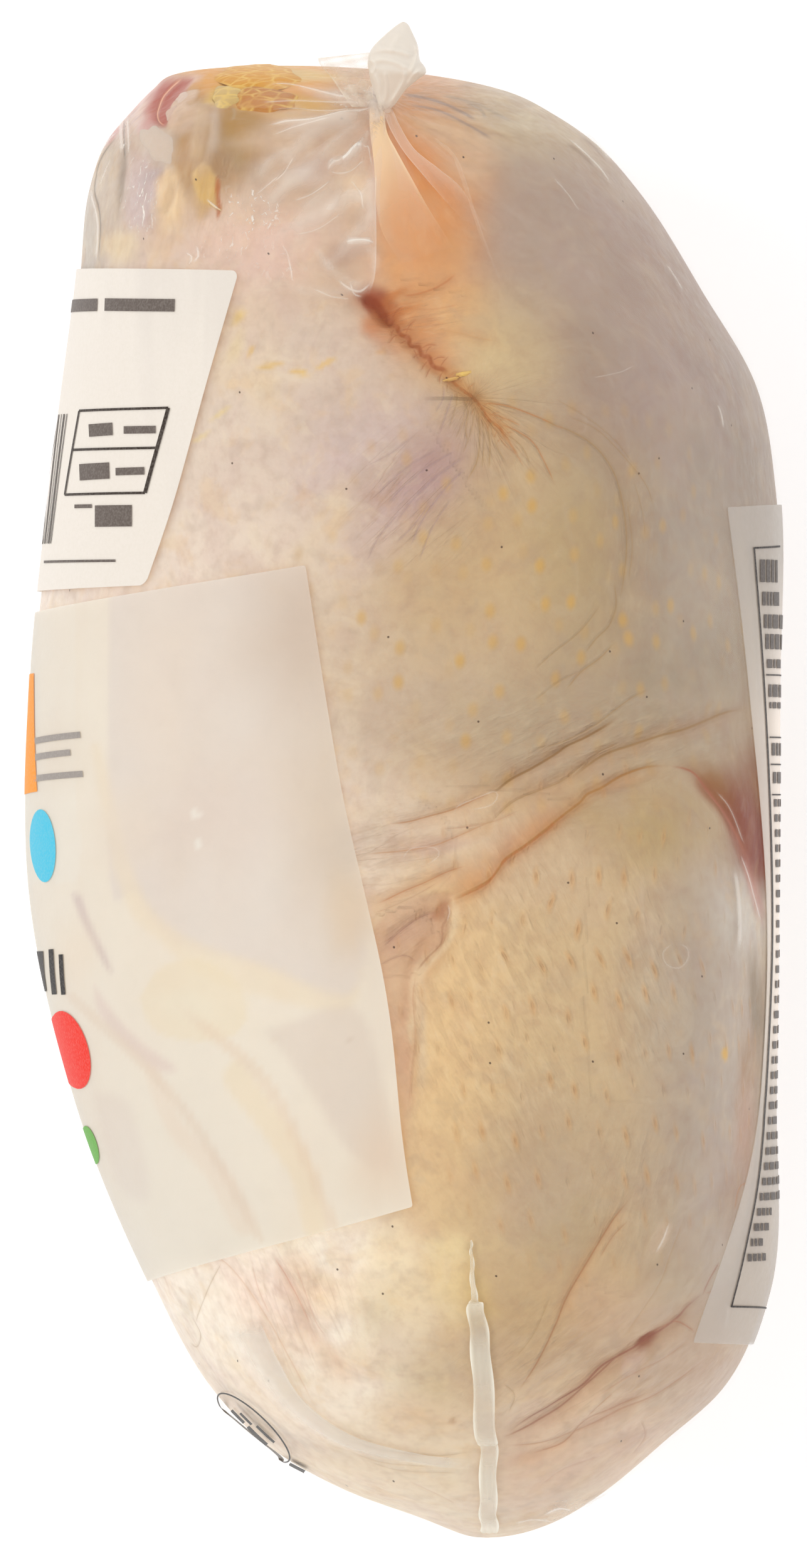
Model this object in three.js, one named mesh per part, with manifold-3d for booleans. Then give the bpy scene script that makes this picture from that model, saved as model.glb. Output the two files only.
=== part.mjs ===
// A whole raw chicken sealed in a clear shrink bag, lying on its left side.
//
// Millimetres, +Z up. +Y runs from the neck end to the knotted tail end, -X is the breast and +X the
// back. The bird's right leg and right wing face up. The origin is under the middle of the pack.
import * as THREE from 'three';
import Module from 'manifold-3d';

// ---------- driving dimensions ----------

const NECK_TIP = -120.7;
const TAIL_TIP = 115.1;
const MID_PLANE = 68;          // height of the bird's own plane of symmetry above the table

// Stations along the pack: y, the breast outline, the back outline, half the thickness, and how square
// the section is on the back's side, as an exponent: 2 is round, and the folded wings make it squarer.
const STATIONS = [
  [NECK_TIP, 13.2, 13.2, 0, 2],
  [-117, 1.3, 26.7, 17, 2],
  [-113, -9.5, 32.8, 27, 2.1],
  [-105, -23, 42.3, 39, 2.2],
  [-97, -30.7, 51.2, 47.5, 2.3],
  [-81, -39.7, 58.4, 57, 2.5],
  [-49, -52.6, 59.4, 65, 3.2],
  [-17, -59.5, 59.8, 67, 3.4],
  [15, -59.4, 60, 67.5, 2.7],
  [47, -56.3, 60, 66.5, 2.1],
  [63, -54.3, 57.1, 64, 2.1],
  [79, -52.2, 48.1, 59.5, 2.1],
  [95, -50.5, 37.9, 51, 2.1],
  [103, -47.5, 30.5, 43.5, 2.1],
  [107, -44.2, 24.7, 38, 2.1],
  [111, -40.4, 16.5, 29, 2.1],
  [113.6, -36.8, 4, 18, 2],
  [TAIL_TIP, -21, -21, 0, 2],
];
const BREAST_SQUARENESS = 2.1;

// Muscles that swell the side: centre, half length, half width, direction in degrees, height. A
// sharper edge drops off sooner at the rim of the form.
const SWELLINGS = {
  drumstick: { x: -20, y: 62, halfLength: 56, halfWidth: 27, turn: -66, height: 4, edge: 2 },
  thigh: { x: 22, y: 46, halfLength: 50, halfWidth: 36, turn: 60, height: 5, edge: 2 },
  wing: { x: 29, y: -50, halfLength: 55, halfWidth: 31, turn: 79, height: 5.5, edge: 5 },
  shoulder: { x: -14, y: -78, halfLength: 34, halfWidth: 20, turn: -62, height: 2.5, edge: 2 },
  hock: { x: -35, y: 100, halfLength: 17, halfWidth: 12, turn: -60, height: 3.5, edge: 3 },
};

// Valleys that the film bridges: their line, half width and depth.
const VALLEYS = {
  behindLeg: { line: [[-7, 80], [-3.5, 75.7], [7.5, 64.3], [15, 55]], halfWidth: 5, depth: 5.5 },
  kneeArc: { line: [[21, 58.5], [33, 51], [36, 40], [34, 24], [26, 16]], halfWidth: 4, depth: 1.2 },
  flank: { line: [[56, 9], [42, 5.5], [28, 0], [10, -6.5], [-6, -13]], halfWidth: 5.5, depth: 3 },
  wingTop: { line: [[33, -0.3], [22, -6], [13, -14.5], [8, -19], [4, -26]], halfWidth: 3.5, depth: 2.2 },
  wingTip: { line: [[46, -84], [36, -88], [30, -93], [20, -102]], halfWidth: 4, depth: 2.4 },
  neckFold: { line: [[-27, -77], [-16, -88], [-2, -99], [12, -107]], halfWidth: 4, depth: 1.5 },
};

// The bag's neck, gathered, twisted and knotted over the tail end. Its line's heights are above the
// root, which is sunk in the pack.
const KNOT = {
  line: [
    [-4, 104, 0],
    [-3.9, 107, 2.5],
    [-2.3, 110, 4.5],
    [-1.2, 113.2, 6],
    [-1.3, 116.2, 7],
    [-0.5, 119.3, 7.6],
  ],
  rootDepth: 3,
  halfWidths: [3.2, 2.3, 3.5, 4.8, 4.0, 2.1],
  flatness: 0.75,
  pleats: 5,
  pleatDepth: 0.13,
  twist: 2.2,                  // radians from the gather to the tip
  tipLength: 1.3,
};

// The bag's lengthwise seal, a flattened fin down to the neck end.
const SEAL = {
  line: [[11, -72.5], [11.4, -80], [12.6, -90], [13.3, -104], [13.4, -114], [13.6, -118.4]],
  halfWidths: [0.5, 1.5, 1.8, 1.8, 1.7, 1.7],
  proud: 0.7,
  sunk: 1.4,
};

// Labels follow the film. Each runs from its edge on the upper side, round the breast or the back,
// to its edge underneath, which lies nearer the rim by the share given.
const LABEL_GAP = 0.6;
const LABEL_THICKNESS = 0.4;
const LABELS = {
  price_label: { around: 'breast', underShare: 0.75, rows: 8, columns: 14,
    edge: [[-25.8, 81], [-31, 63], [-36, 45], [-40.6, 31.4]], rim: [82, 30.7], colour: 0xf3ebe0 },
  front_label: { around: 'breast', underShare: 0.7, rows: 16, columns: 24,
    edge: [[-15.3, 34.5], [-9.8, 0], [-2.8, -32], [0, -55.8], [1.6, -66.6]], rim: [27.3, -79.2],
    colour: 0xe9e0d6 },
  back_label: { around: 'back', underShare: 1, rows: 20, columns: 12,
    edge: [[51.3, 43.8], [54.3, 19], [57.4, -16.4], [57, -43], [54.3, -62.5], [45.9, -88.4]],
    rim: [44.5, -89.2], colour: 0xc9c3ba },
};

const ROWS = 52;               // rings along the pack
const COLUMNS = 68;            // points round each ring
const MIDDLE_CROWDING = 0.35;  // rings stand closer together in the middle by this share
const LABEL_DIP = 2;           // how the labels' ends curve towards the rim: a power of the angle

const MATERIALS = {
  pack: { color: 0xd9b995, roughness: 0.25, metalness: 0 },
  label: { roughness: 0.6, metalness: 0 },
};

// ---------- the pack's outer surface ----------

const MIDDLE = (NECK_TIP + TAIL_TIP) / 2;
const HALF_LENGTH = (TAIL_TIP - NECK_TIP) / 2;

const latitude = y => Math.asin(THREE.MathUtils.clamp((y - MIDDLE) / HALF_LENGTH, -1, 1));

// A smooth curve through values at rising places, with slopes weighted by the gaps on both sides.
function smoothCurve(places, values) {
  const last = places.length - 1;
  const rise = values.slice(1).map((v, i) => (v - values[i]) / (places[i + 1] - places[i]));
  const slopes = values.map((_, i) => {
    if (i === 0) return rise[0];
    if (i === last) return rise[last - 1];
    const before = places[i] - places[i - 1];
    const after = places[i + 1] - places[i];
    return (rise[i - 1] * after + rise[i] * before) / (before + after);
  });
  return at => {
    let i = 0;
    while (i < last - 1 && at > places[i + 1]) i += 1;
    const gap = places[i + 1] - places[i];
    const t = THREE.MathUtils.clamp((at - places[i]) / gap, 0, 1);
    const t2 = t * t;
    const t3 = t2 * t;
    return (2 * t3 - 3 * t2 + 1) * values[i] + (t3 - 2 * t2 + t) * gap * slopes[i]
      + (3 * t2 - 2 * t3) * values[i + 1] + (t3 - t2) * gap * slopes[i + 1];
  };
}

// The same through values at even places from 0 to 1.
const evenCurve = values => smoothCurve(values.map((_, i) => i / (values.length - 1)), values);

const stationLatitudes = STATIONS.map(s => latitude(s[0]));
const breastOutline = smoothCurve(stationLatitudes, STATIONS.map(s => s[1]));
const backOutline = smoothCurve(stationLatitudes, STATIONS.map(s => s[2]));
const halfThickness = smoothCurve(stationLatitudes, STATIONS.map(s => s[3]));
const backSquareness = smoothCurve(stationLatitudes, STATIONS.map(s => s[4]));

function distanceToLine(x, y, line) {
  let nearest = Infinity;
  for (let i = 0; i < line.length - 1; i += 1) {
    const [ax, ay] = line[i];
    const [bx, by] = line[i + 1];
    const along = ((x - ax) * (bx - ax) + (y - ay) * (by - ay)) / ((bx - ax) ** 2 + (by - ay) ** 2);
    const t = THREE.MathUtils.clamp(along, 0, 1);
    nearest = Math.min(nearest, Math.hypot(x - ax - t * (bx - ax), y - ay - t * (by - ay)));
  }
  return nearest;
}

// Height of the muscles and valleys over the plain rounded side.
function relief(x, y) {
  let height = 0;
  for (const form of Object.values(SWELLINGS)) {
    const turn = THREE.MathUtils.degToRad(form.turn);
    const u = ((x - form.x) * Math.cos(turn) + (y - form.y) * Math.sin(turn)) / form.halfLength;
    const v = ((y - form.y) * Math.cos(turn) - (x - form.x) * Math.sin(turn)) / form.halfWidth;
    const rim = Math.min(1, Math.hypot(u, v));
    height += form.height * (1 - rim ** form.edge) ** 1.5;
  }
  for (const valley of Object.values(VALLEYS)) {
    height -= valley.depth * Math.exp(-((distanceToLine(x, y, valley.line) / valley.halfWidth) ** 2));
  }
  return height;
}

// A point of the film. The angle is 0 at the back, 90 degrees on the upper side, 180 at the breast.
function filmPoint(phi, angle) {
  const y = MIDDLE + HALF_LENGTH * Math.sin(phi);
  const breast = breastOutline(phi);
  const back = backOutline(phi);
  const halfWidth = Math.max((back - breast) / 2, 1e-6);
  const thick = Math.max(halfThickness(phi), 1e-6);
  const [c, s] = [Math.cos(angle), Math.sin(angle)];
  const power = c > 0 ? backSquareness(phi) : BREAST_SQUARENESS;
  const radius = (Math.abs(c / halfWidth) ** power + Math.abs(s / thick) ** power) ** (-1 / power);
  const x = (breast + back) / 2 + radius * c;
  const steepness = THREE.MathUtils.smoothstep(Math.abs(radius * s) / thick, 0, 0.8);
  const endFade = THREE.MathUtils.smoothstep(thick, 5, 40);
  const lift = Math.sign(s) * steepness * endFade * relief(x, y);
  return new THREE.Vector3(x, y, Math.max(0, MID_PLANE + radius * s + lift));
}

function filmNormal(phi, angle) {
  const step = 0.01;
  const alongPack = filmPoint(phi + step, angle).sub(filmPoint(phi - step, angle));
  const around = filmPoint(phi, angle + step).sub(filmPoint(phi, angle - step));
  return around.cross(alongPack).multiplyScalar(-1).normalize();
}

// The angle on the upper side at which the film passes over x.
function angleAt(phi, x) {
  let [low, high] = [0, Math.PI];
  for (let i = 0; i < 40; i += 1) {
    const middle = (low + high) / 2;
    if (filmPoint(phi, middle).x > x) low = middle;
    else high = middle;
  }
  return (low + high) / 2;
}

// ---------- solids ----------

function solidFrom(points, faces) {
  const geometry = new THREE.BufferGeometry();
  geometry.setAttribute('position', new THREE.Float32BufferAttribute(points.flatMap(p => p.toArray()), 3));
  geometry.setIndex(faces.flat());
  return geometry;
}

// Rings of points closed by a point at each end. The rings turn anticlockwise about the way they go.
function ringsToSolid(start, rings, end) {
  const count = rings[0].length;
  const points = [start, ...rings.flat(), end];
  const at = (ring, i) => 1 + ring * count + (i % count);
  const faces = [];
  for (let i = 0; i < count; i += 1) {
    faces.push([0, at(0, i + 1), at(0, i)]);
    faces.push([points.length - 1, at(rings.length - 1, i), at(rings.length - 1, i + 1)]);
    for (let ring = 0; ring < rings.length - 1; ring += 1) {
      faces.push([at(ring, i), at(ring, i + 1), at(ring + 1, i + 1)]);
      faces.push([at(ring, i), at(ring + 1, i + 1), at(ring + 1, i)]);
    }
  }
  return solidFrom(points, faces);
}

function packBody() {
  const rings = [];
  for (let row = 1; row < ROWS; row += 1) {
    const u = (2 * row) / ROWS - 1;
    const phi = (Math.PI / 2) * (u - (MIDDLE_CROWDING / Math.PI) * Math.sin(Math.PI * u));
    const ring = [];
    for (let i = 0; i < COLUMNS; i += 1) ring.push(filmPoint(phi, (-2 * Math.PI * i) / COLUMNS));
    rings.push(ring);
  }
  const neck = new THREE.Vector3(STATIONS[0][1], NECK_TIP, MID_PLANE);
  const tail = new THREE.Vector3(STATIONS.at(-1)[1], TAIL_TIP, MID_PLANE);
  return ringsToSolid(neck, rings, tail);
}

// A lump of twisted, pleated film along a short line that starts inside the pack.
function knotBody() {
  const [sides, steps] = [20, 12];
  const [rootX, rootY] = KNOT.line[1];
  const root = filmPoint(latitude(rootY), angleAt(latitude(rootY), rootX)).z - KNOT.rootDepth;
  const path = new THREE.CatmullRomCurve3(KNOT.line.map(([x, y, z]) => new THREE.Vector3(x, y, root + z)));
  const width = evenCurve(KNOT.halfWidths);
  const rings = [];
  for (let step = 0; step <= steps; step += 1) {
    const t = step / steps;
    const centre = path.getPoint(t);
    const forward = path.getTangent(t);
    const sideways = new THREE.Vector3(1, 0, 0).cross(forward).cross(forward).normalize();
    const outwards = forward.clone().cross(sideways);
    const ring = [];
    for (let i = 0; i < sides; i += 1) {
      const angle = (2 * Math.PI * i) / sides;
      const pleat = 1 + KNOT.pleatDepth * Math.cos(KNOT.pleats * angle + KNOT.twist * t);
      const reach = width(t) * pleat;
      ring.push(centre.clone().addScaledVector(sideways, reach * Math.cos(angle))
        .addScaledVector(outwards, reach * KNOT.flatness * Math.sin(angle)));
    }
    rings.push(ring);
  }
  const tip = path.getPoint(1).addScaledVector(path.getTangent(1), KNOT.tipLength);
  return ringsToSolid(path.getPoint(0), rings, tip);
}

function sealBody() {
  const steps = 16;
  const line = new THREE.CatmullRomCurve3(SEAL.line.map(([x, y]) => new THREE.Vector3(x, y, 0)));
  const width = evenCurve(SEAL.halfWidths);
  const rings = [];
  for (let step = 0; step <= steps; step += 1) {
    const { x, y } = line.getPoint(step / steps);
    const phi = latitude(y);
    const corner = (side, offset) => {
      const angle = angleAt(phi, x + side * width(step / steps));
      return filmPoint(phi, angle).addScaledVector(filmNormal(phi, angle), offset);
    };
    const [proud, sunk] = [SEAL.proud, -SEAL.sunk];
    rings.push([corner(-1, proud), corner(1, proud), corner(1, sunk), corner(-1, sunk)]);
  }
  const middle = ring => ring.reduce((sum, p) => sum.add(p), new THREE.Vector3()).divideScalar(ring.length);
  return ringsToSolid(middle(rings[0]), rings, middle(rings.at(-1)));
}

// A thin sheet a little off the film, from its upper edge round the rim to its edge underneath.
function labelBody(label) {
  const rimAngle = label.around === 'back' ? 0 : Math.PI;
  const edgeCurve = new THREE.CatmullRomCurve3(label.edge.map(([x, y]) => new THREE.Vector3(x, y, 0)));
  const sheet = offset => {
    const points = [];
    for (let row = 0; row <= label.rows; row += 1) {
      const v = row / label.rows;
      const edge = edgeCurve.getPointAt(v);
      const rimY = THREE.MathUtils.lerp(label.rim[0], label.rim[1], v);
      const upper = angleAt(latitude(edge.y), edge.x) - rimAngle;
      for (let column = 0; column <= label.columns; column += 1) {
        const u = THREE.MathUtils.lerp(1, -label.underShare, column / label.columns);
        const phi = latitude(rimY + (edge.y - rimY) * Math.abs(u) ** LABEL_DIP);
        const angle = rimAngle + upper * u;
        points.push(filmPoint(phi, angle).addScaledVector(filmNormal(phi, angle), offset));
      }
    }
    return points;
  };
  const inner = sheet(LABEL_GAP);
  const outer = sheet(LABEL_GAP + LABEL_THICKNESS);
  const wide = label.columns + 1;
  const faces = [];
  const quad = (a, b, c, d) => faces.push([a, b, c], [a, c, d]);
  for (let row = 0; row < label.rows; row += 1) {
    for (let column = 0; column < label.columns; column += 1) {
      const a = row * wide + column;
      quad(a, a + wide, a + wide + 1, a + 1);
      quad(a + inner.length, a + inner.length + 1, a + inner.length + wide + 1, a + inner.length + wide);
    }
  }
  const rimLoop = [];
  for (let column = 0; column < label.columns; column += 1) rimLoop.push(column);
  for (let row = 0; row < label.rows; row += 1) rimLoop.push(row * wide + label.columns);
  for (let column = label.columns; column > 0; column -= 1) rimLoop.push(label.rows * wide + column);
  for (let row = label.rows; row > 0; row -= 1) rimLoop.push(row * wide);
  rimLoop.forEach((a, i) => {
    const b = rimLoop[(i + 1) % rimLoop.length];
    quad(a, b, b + inner.length, a + inner.length);
  });
  const geometry = solidFrom([...inner, ...outer], faces);
  return signedVolume(geometry) < 0 ? insideOut(geometry) : geometry;
}

function signedVolume(geometry) {
  const position = geometry.getAttribute('position');
  const index = geometry.getIndex();
  const corner = i => new THREE.Vector3().fromBufferAttribute(position, index.getX(i));
  let volume = 0;
  for (let i = 0; i < index.count; i += 3) {
    volume += corner(i).dot(corner(i + 1).cross(corner(i + 2))) / 6;
  }
  return volume;
}

function insideOut(geometry) {
  const index = geometry.getIndex();
  for (let i = 0; i < index.count; i += 3) {
    const kept = index.getX(i + 1);
    index.setX(i + 1, index.getX(i + 2));
    index.setX(i + 2, kept);
  }
  return geometry;
}

// ---------- joining ----------

const manifold = await Module();
manifold.setup();

function asManifold(geometry) {
  const outward = signedVolume(geometry) < 0 ? insideOut(geometry) : geometry;
  return new manifold.Manifold(new manifold.Mesh({
    numProp: 3,
    vertProperties: new Float32Array(outward.getAttribute('position').array),
    triVerts: new Uint32Array(outward.getIndex().array),
  }));
}

function fused(...geometries) {
  const whole = geometries.map(asManifold).reduce((sum, solid) => sum.add(solid)).getMesh();
  const geometry = new THREE.BufferGeometry();
  geometry.setAttribute('position', new THREE.BufferAttribute(whole.vertProperties, 3));
  geometry.setIndex(new THREE.BufferAttribute(whole.triVerts, 1));
  return geometry;
}

// ---------- the object ----------

function named(name, geometry, material) {
  const mesh = new THREE.Mesh(geometry, new THREE.MeshStandardMaterial(material));
  mesh.name = name;
  return mesh;
}

const baggedChicken = new THREE.Group();
baggedChicken.add(named('chicken_pack', fused(packBody(), knotBody(), sealBody()), MATERIALS.pack));
for (const [name, label] of Object.entries(LABELS)) {
  baggedChicken.add(named(name, labelBody(label), { ...MATERIALS.label, color: label.colour }));
}

export default baggedChicken;
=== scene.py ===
# A whole raw chicken sealed in a clear shrink bag with three labels, seen from straight above.
#
# Forms are worked out in millimetres in the part's own frame: +Y to the knotted tail end, -X the breast,
# +X the back, +Z up. Places on the upper side are written in picture pixels, ten to a millimetre.
import math

import bpy
import numpy as np
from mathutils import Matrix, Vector


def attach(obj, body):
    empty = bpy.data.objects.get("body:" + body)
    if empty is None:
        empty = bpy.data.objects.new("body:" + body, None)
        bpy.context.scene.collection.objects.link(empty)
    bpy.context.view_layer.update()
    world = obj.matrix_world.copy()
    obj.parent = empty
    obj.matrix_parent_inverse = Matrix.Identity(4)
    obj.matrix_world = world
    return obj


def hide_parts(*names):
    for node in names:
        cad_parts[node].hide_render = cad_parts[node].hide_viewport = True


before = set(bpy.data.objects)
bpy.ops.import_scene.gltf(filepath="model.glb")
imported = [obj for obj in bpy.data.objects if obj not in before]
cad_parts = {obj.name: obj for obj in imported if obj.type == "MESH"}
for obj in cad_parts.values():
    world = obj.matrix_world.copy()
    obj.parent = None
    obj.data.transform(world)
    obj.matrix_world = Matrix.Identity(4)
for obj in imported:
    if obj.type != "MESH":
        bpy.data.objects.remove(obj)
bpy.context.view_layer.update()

MM = 0.001
PICTURE_MIDDLE = (642.5, 1250.0)
PIXELS_PER_MM = 10.0
BODY = "root"

# ---------- the pack's form, as in the CAD model ----------

NECK_TIP = -120.7
TAIL_TIP = 115.1
MID_PLANE = 68.0
# Stations: y, breast outline, back outline, half thickness, squareness on the back's side
STATIONS = np.array([
    [NECK_TIP, 13.2, 13.2, 0, 2], [-117, 1.3, 26.7, 17, 2], [-113, -9.5, 32.8, 27, 2.1],
    [-105, -23, 42.3, 39, 2.2], [-97, -30.7, 51.2, 47.5, 2.3], [-81, -39.7, 58.4, 57, 2.5],
    [-49, -52.6, 59.4, 65, 3.2], [-17, -59.5, 59.8, 67, 3.4], [15, -59.4, 60, 67.5, 2.7],
    [47, -56.3, 60, 66.5, 2.1], [63, -54.3, 57.1, 64, 2.1], [79, -52.2, 48.1, 59.5, 2.1],
    [95, -50.5, 37.9, 51, 2.1], [103, -47.5, 30.5, 43.5, 2.1], [107, -44.2, 24.7, 38, 2.1],
    [111, -40.4, 16.5, 29, 2.1], [113.6, -36.8, 4, 18, 2], [TAIL_TIP, -21, -21, 0, 2],
])
BREAST_SQUARENESS = 2.1
# Swellings: x, y, half length, half width, direction in degrees, height, edge
SWELLINGS = [
    (-20, 62, 56, 27, -66, 4, 2), (22, 46, 50, 36, 60, 5, 2), (29, -50, 55, 31, 79, 5.5, 5),
    (-14, -78, 34, 20, -62, 2.5, 2), (-35, 100, 17, 12, -60, 3.5, 3),
]
# Valleys: line, half width, depth
VALLEYS = [
    ([(-7, 80), (-3.5, 75.7), (7.5, 64.3), (15, 55)], 4.5, 1.8),
    ([(21, 58.5), (33, 51), (36, 40), (34, 24), (26, 16)], 4, 1.2),
    ([(56, 9), (42, 5.5), (28, 0), (10, -6.5), (-6, -13)], 5.5, 1.9),
    ([(33, -0.3), (22, -6), (13, -14.5), (8, -19), (4, -26)], 3.5, 1.3),
    ([(46, -84), (36, -88), (30, -93), (20, -102)], 4, 2.4),
    ([(-27, -77), (-16, -88), (-2, -99), (12, -107)], 4, 1.5),
]
MIDDLE = (NECK_TIP + TAIL_TIP) / 2
HALF_LENGTH = (TAIL_TIP - NECK_TIP) / 2


def latitude(y):
    return np.arcsin(np.clip((np.asarray(y, float) - MIDDLE) / HALF_LENGTH, -1, 1))


def smoothstep(value, low, high):
    t = np.clip((value - low) / (high - low), 0, 1)
    return t * t * (3 - 2 * t)


def smooth_curve(places, values):
    """A smooth curve through values at rising places, with slopes weighted by the gaps on both sides."""
    places = np.asarray(places, float)
    values = np.asarray(values, float)
    gaps = np.diff(places)
    rise = np.diff(values) / gaps
    slopes = np.empty_like(values)
    slopes[0], slopes[-1] = rise[0], rise[-1]
    slopes[1:-1] = (rise[:-1] * gaps[1:] + rise[1:] * gaps[:-1]) / (gaps[:-1] + gaps[1:])

    def at(where):
        i = np.clip(np.searchsorted(places, where, side="right") - 1, 0, len(gaps) - 1)
        t = np.clip((where - places[i]) / gaps[i], 0, 1)
        return ((2 * t ** 3 - 3 * t ** 2 + 1) * values[i] + (t ** 3 - 2 * t ** 2 + t) * gaps[i] * slopes[i]
                + (3 * t ** 2 - 2 * t ** 3) * values[i + 1] + (t ** 3 - t ** 2) * gaps[i] * slopes[i + 1])

    return at


station_latitudes = latitude(STATIONS[:, 0])
breast_outline = smooth_curve(station_latitudes, STATIONS[:, 1])
back_outline = smooth_curve(station_latitudes, STATIONS[:, 2])
half_thickness = smooth_curve(station_latitudes, STATIONS[:, 3])
back_squareness = smooth_curve(station_latitudes, STATIONS[:, 4])


def through(points, steps=6):
    """A denser Catmull-Rom line through a few points, with numbers carried along beside x and y."""
    p = np.asarray(points, float)
    p = np.vstack([2 * p[0] - p[1], p, 2 * p[-1] - p[-2]])
    t = np.linspace(0, 1, steps, endpoint=False)[:, None]
    parts = []
    for a, b, c, d in zip(p[:-3], p[1:-2], p[2:-1], p[3:]):
        parts.append(0.5 * (2 * b + (c - a) * t + (2 * a - 5 * b + 4 * c - d) * t ** 2
                            + (3 * b - a - 3 * c + d) * t ** 3))
    return np.vstack(parts + [p[-2:-1]])


def line_distance(x, y, line):
    """Distance to a line, the share of the line passed at the nearest point, and the side, +1 or -1."""
    line = np.asarray(line, float)
    steps = np.hypot(*np.diff(line[:, :2], axis=0).T)
    total = steps.sum()
    nearest = np.full(x.shape, np.inf)
    share = np.zeros(x.shape)
    side = np.ones(x.shape)
    passed = 0.0
    for (ax, ay), (bx, by), step in zip(line[:-1, :2], line[1:, :2], steps):
        along = np.clip(((x - ax) * (bx - ax) + (y - ay) * (by - ay)) / step ** 2, 0, 1)
        gap = np.hypot(x - ax - along * (bx - ax), y - ay - along * (by - ay))
        closer = gap < nearest
        nearest = np.where(closer, gap, nearest)
        share = np.where(closer, (passed + along * step) / total, share)
        turn = (bx - ax) * (y - ay) - (by - ay) * (x - ax)
        side = np.where(closer, np.where(turn >= 0, 1.0, -1.0), side)
        passed += step
    return nearest, share, side


def near_line(x, y, line, reach):
    """Which points are in the box round a line, with this reach to each side."""
    return ((x > line[:, 0].min() - reach) & (x < line[:, 0].max() + reach)
            & (y > line[:, 1].min() - reach) & (y < line[:, 1].max() + reach))


def tapered(share, start, end):
    """1 along a line, falling to 0 over these shares of its length at its two ends."""
    return smoothstep(share, 0, start) * smoothstep(1 - share, 0, end)


def turned(x, y, degrees):
    """How far points lie along a direction, and how far across it, to its left."""
    c, s = math.cos(math.radians(degrees)), math.sin(math.radians(degrees))
    return x * c + y * s, y * c - x * s


def relief(x, y):
    """Height of the muscles and valleys over the plain rounded side."""
    height = np.zeros(np.shape(x))
    for cx, cy, half_length, half_width, turn, rise, edge in SWELLINGS:
        along, across = turned(x - cx, y - cy, turn)
        away = np.hypot(along / half_length, across / half_width)
        height += rise * (1 - np.minimum(1, away) ** edge) ** 1.5
    for line, half_width, depth in VALLEYS:
        height -= depth * np.exp(-((line_distance(x, y, line)[0] / half_width) ** 2))
    return height


def ring_point(phi, angle):
    """x, and the height over the middle plane before the relief, round the ring at a latitude."""
    breast, back = breast_outline(phi), back_outline(phi)
    half_width = np.maximum((back - breast) / 2, 1e-6)
    thick = np.maximum(half_thickness(phi), 1e-6)
    c, s = np.cos(angle), np.sin(angle)
    power = np.where(c > 0, back_squareness(phi), BREAST_SQUARENESS)
    radius = (np.abs(c / half_width) ** power + np.abs(s / thick) ** power) ** (-1 / power)
    return (breast + back) / 2 + radius * c, radius * s, thick


def film_point(phi, angle):
    """A point of the film: the angle is 0 at the back, 90 degrees on the upper side, 180 at the breast."""
    phi, angle = np.broadcast_arrays(phi, angle)
    y = MIDDLE + HALF_LENGTH * np.sin(phi)
    x, up, thick = ring_point(phi, angle)
    steepness = smoothstep(np.abs(up) / thick, 0, 0.8)
    lift = np.sign(up) * steepness * smoothstep(thick, 5, 40) * relief(x, y)
    return np.stack([x, y, np.maximum(0, MID_PLANE + up + lift)], axis=-1)


def film_normal(phi, angle, step=0.01):
    along = film_point(phi + step, angle) - film_point(phi - step, angle)
    around = film_point(phi, angle + step) - film_point(phi, angle - step)
    normal = -np.cross(around, along)
    return normal / np.maximum(np.linalg.norm(normal, axis=-1, keepdims=True), 1e-9)


def angle_at(phi, x):
    """The angle on the upper side at which the film passes over x."""
    low, high = np.zeros(np.shape(phi)), np.full(np.shape(phi), math.pi)
    for _ in range(30):
        middle = (low + high) / 2
        past = ring_point(phi, middle)[0] > x
        low, high = np.where(past, middle, low), np.where(past, high, middle)
    return (low + high) / 2


def from_picture(points):
    """Millimetres on the upper side from picture pixels, further columns kept."""
    p = np.array(points, float)
    p[..., 0] = (p[..., 0] - PICTURE_MIDDLE[0]) / PIXELS_PER_MM
    p[..., 1] = (PICTURE_MIDDLE[1] - p[..., 1]) / PIXELS_PER_MM
    return p


def away_from(x, y, middle, reach):
    """Squared distance from a picture point, in reaches along x and along y."""
    cx, cy = from_picture(middle)
    return ((x - cx) * PIXELS_PER_MM / reach[0]) ** 2 + ((y - cy) * PIXELS_PER_MM / reach[1]) ** 2


def over_film(x, y, offset):
    """Points a little over the film's upper side."""
    phi = latitude(y)
    angle = angle_at(phi, x)
    return film_point(phi, angle) + film_normal(phi, angle) * np.asarray(offset)[..., None]


# ---------- colours ----------

def linear(red, green, blue):
    """A picture colour, 0 to 255, as the linear colour that Blender works in."""
    share = np.array([red, green, blue]) / 255.0
    return np.where(share <= 0.04045, share / 12.92, ((share + 0.055) / 1.055) ** 2.4)


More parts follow.
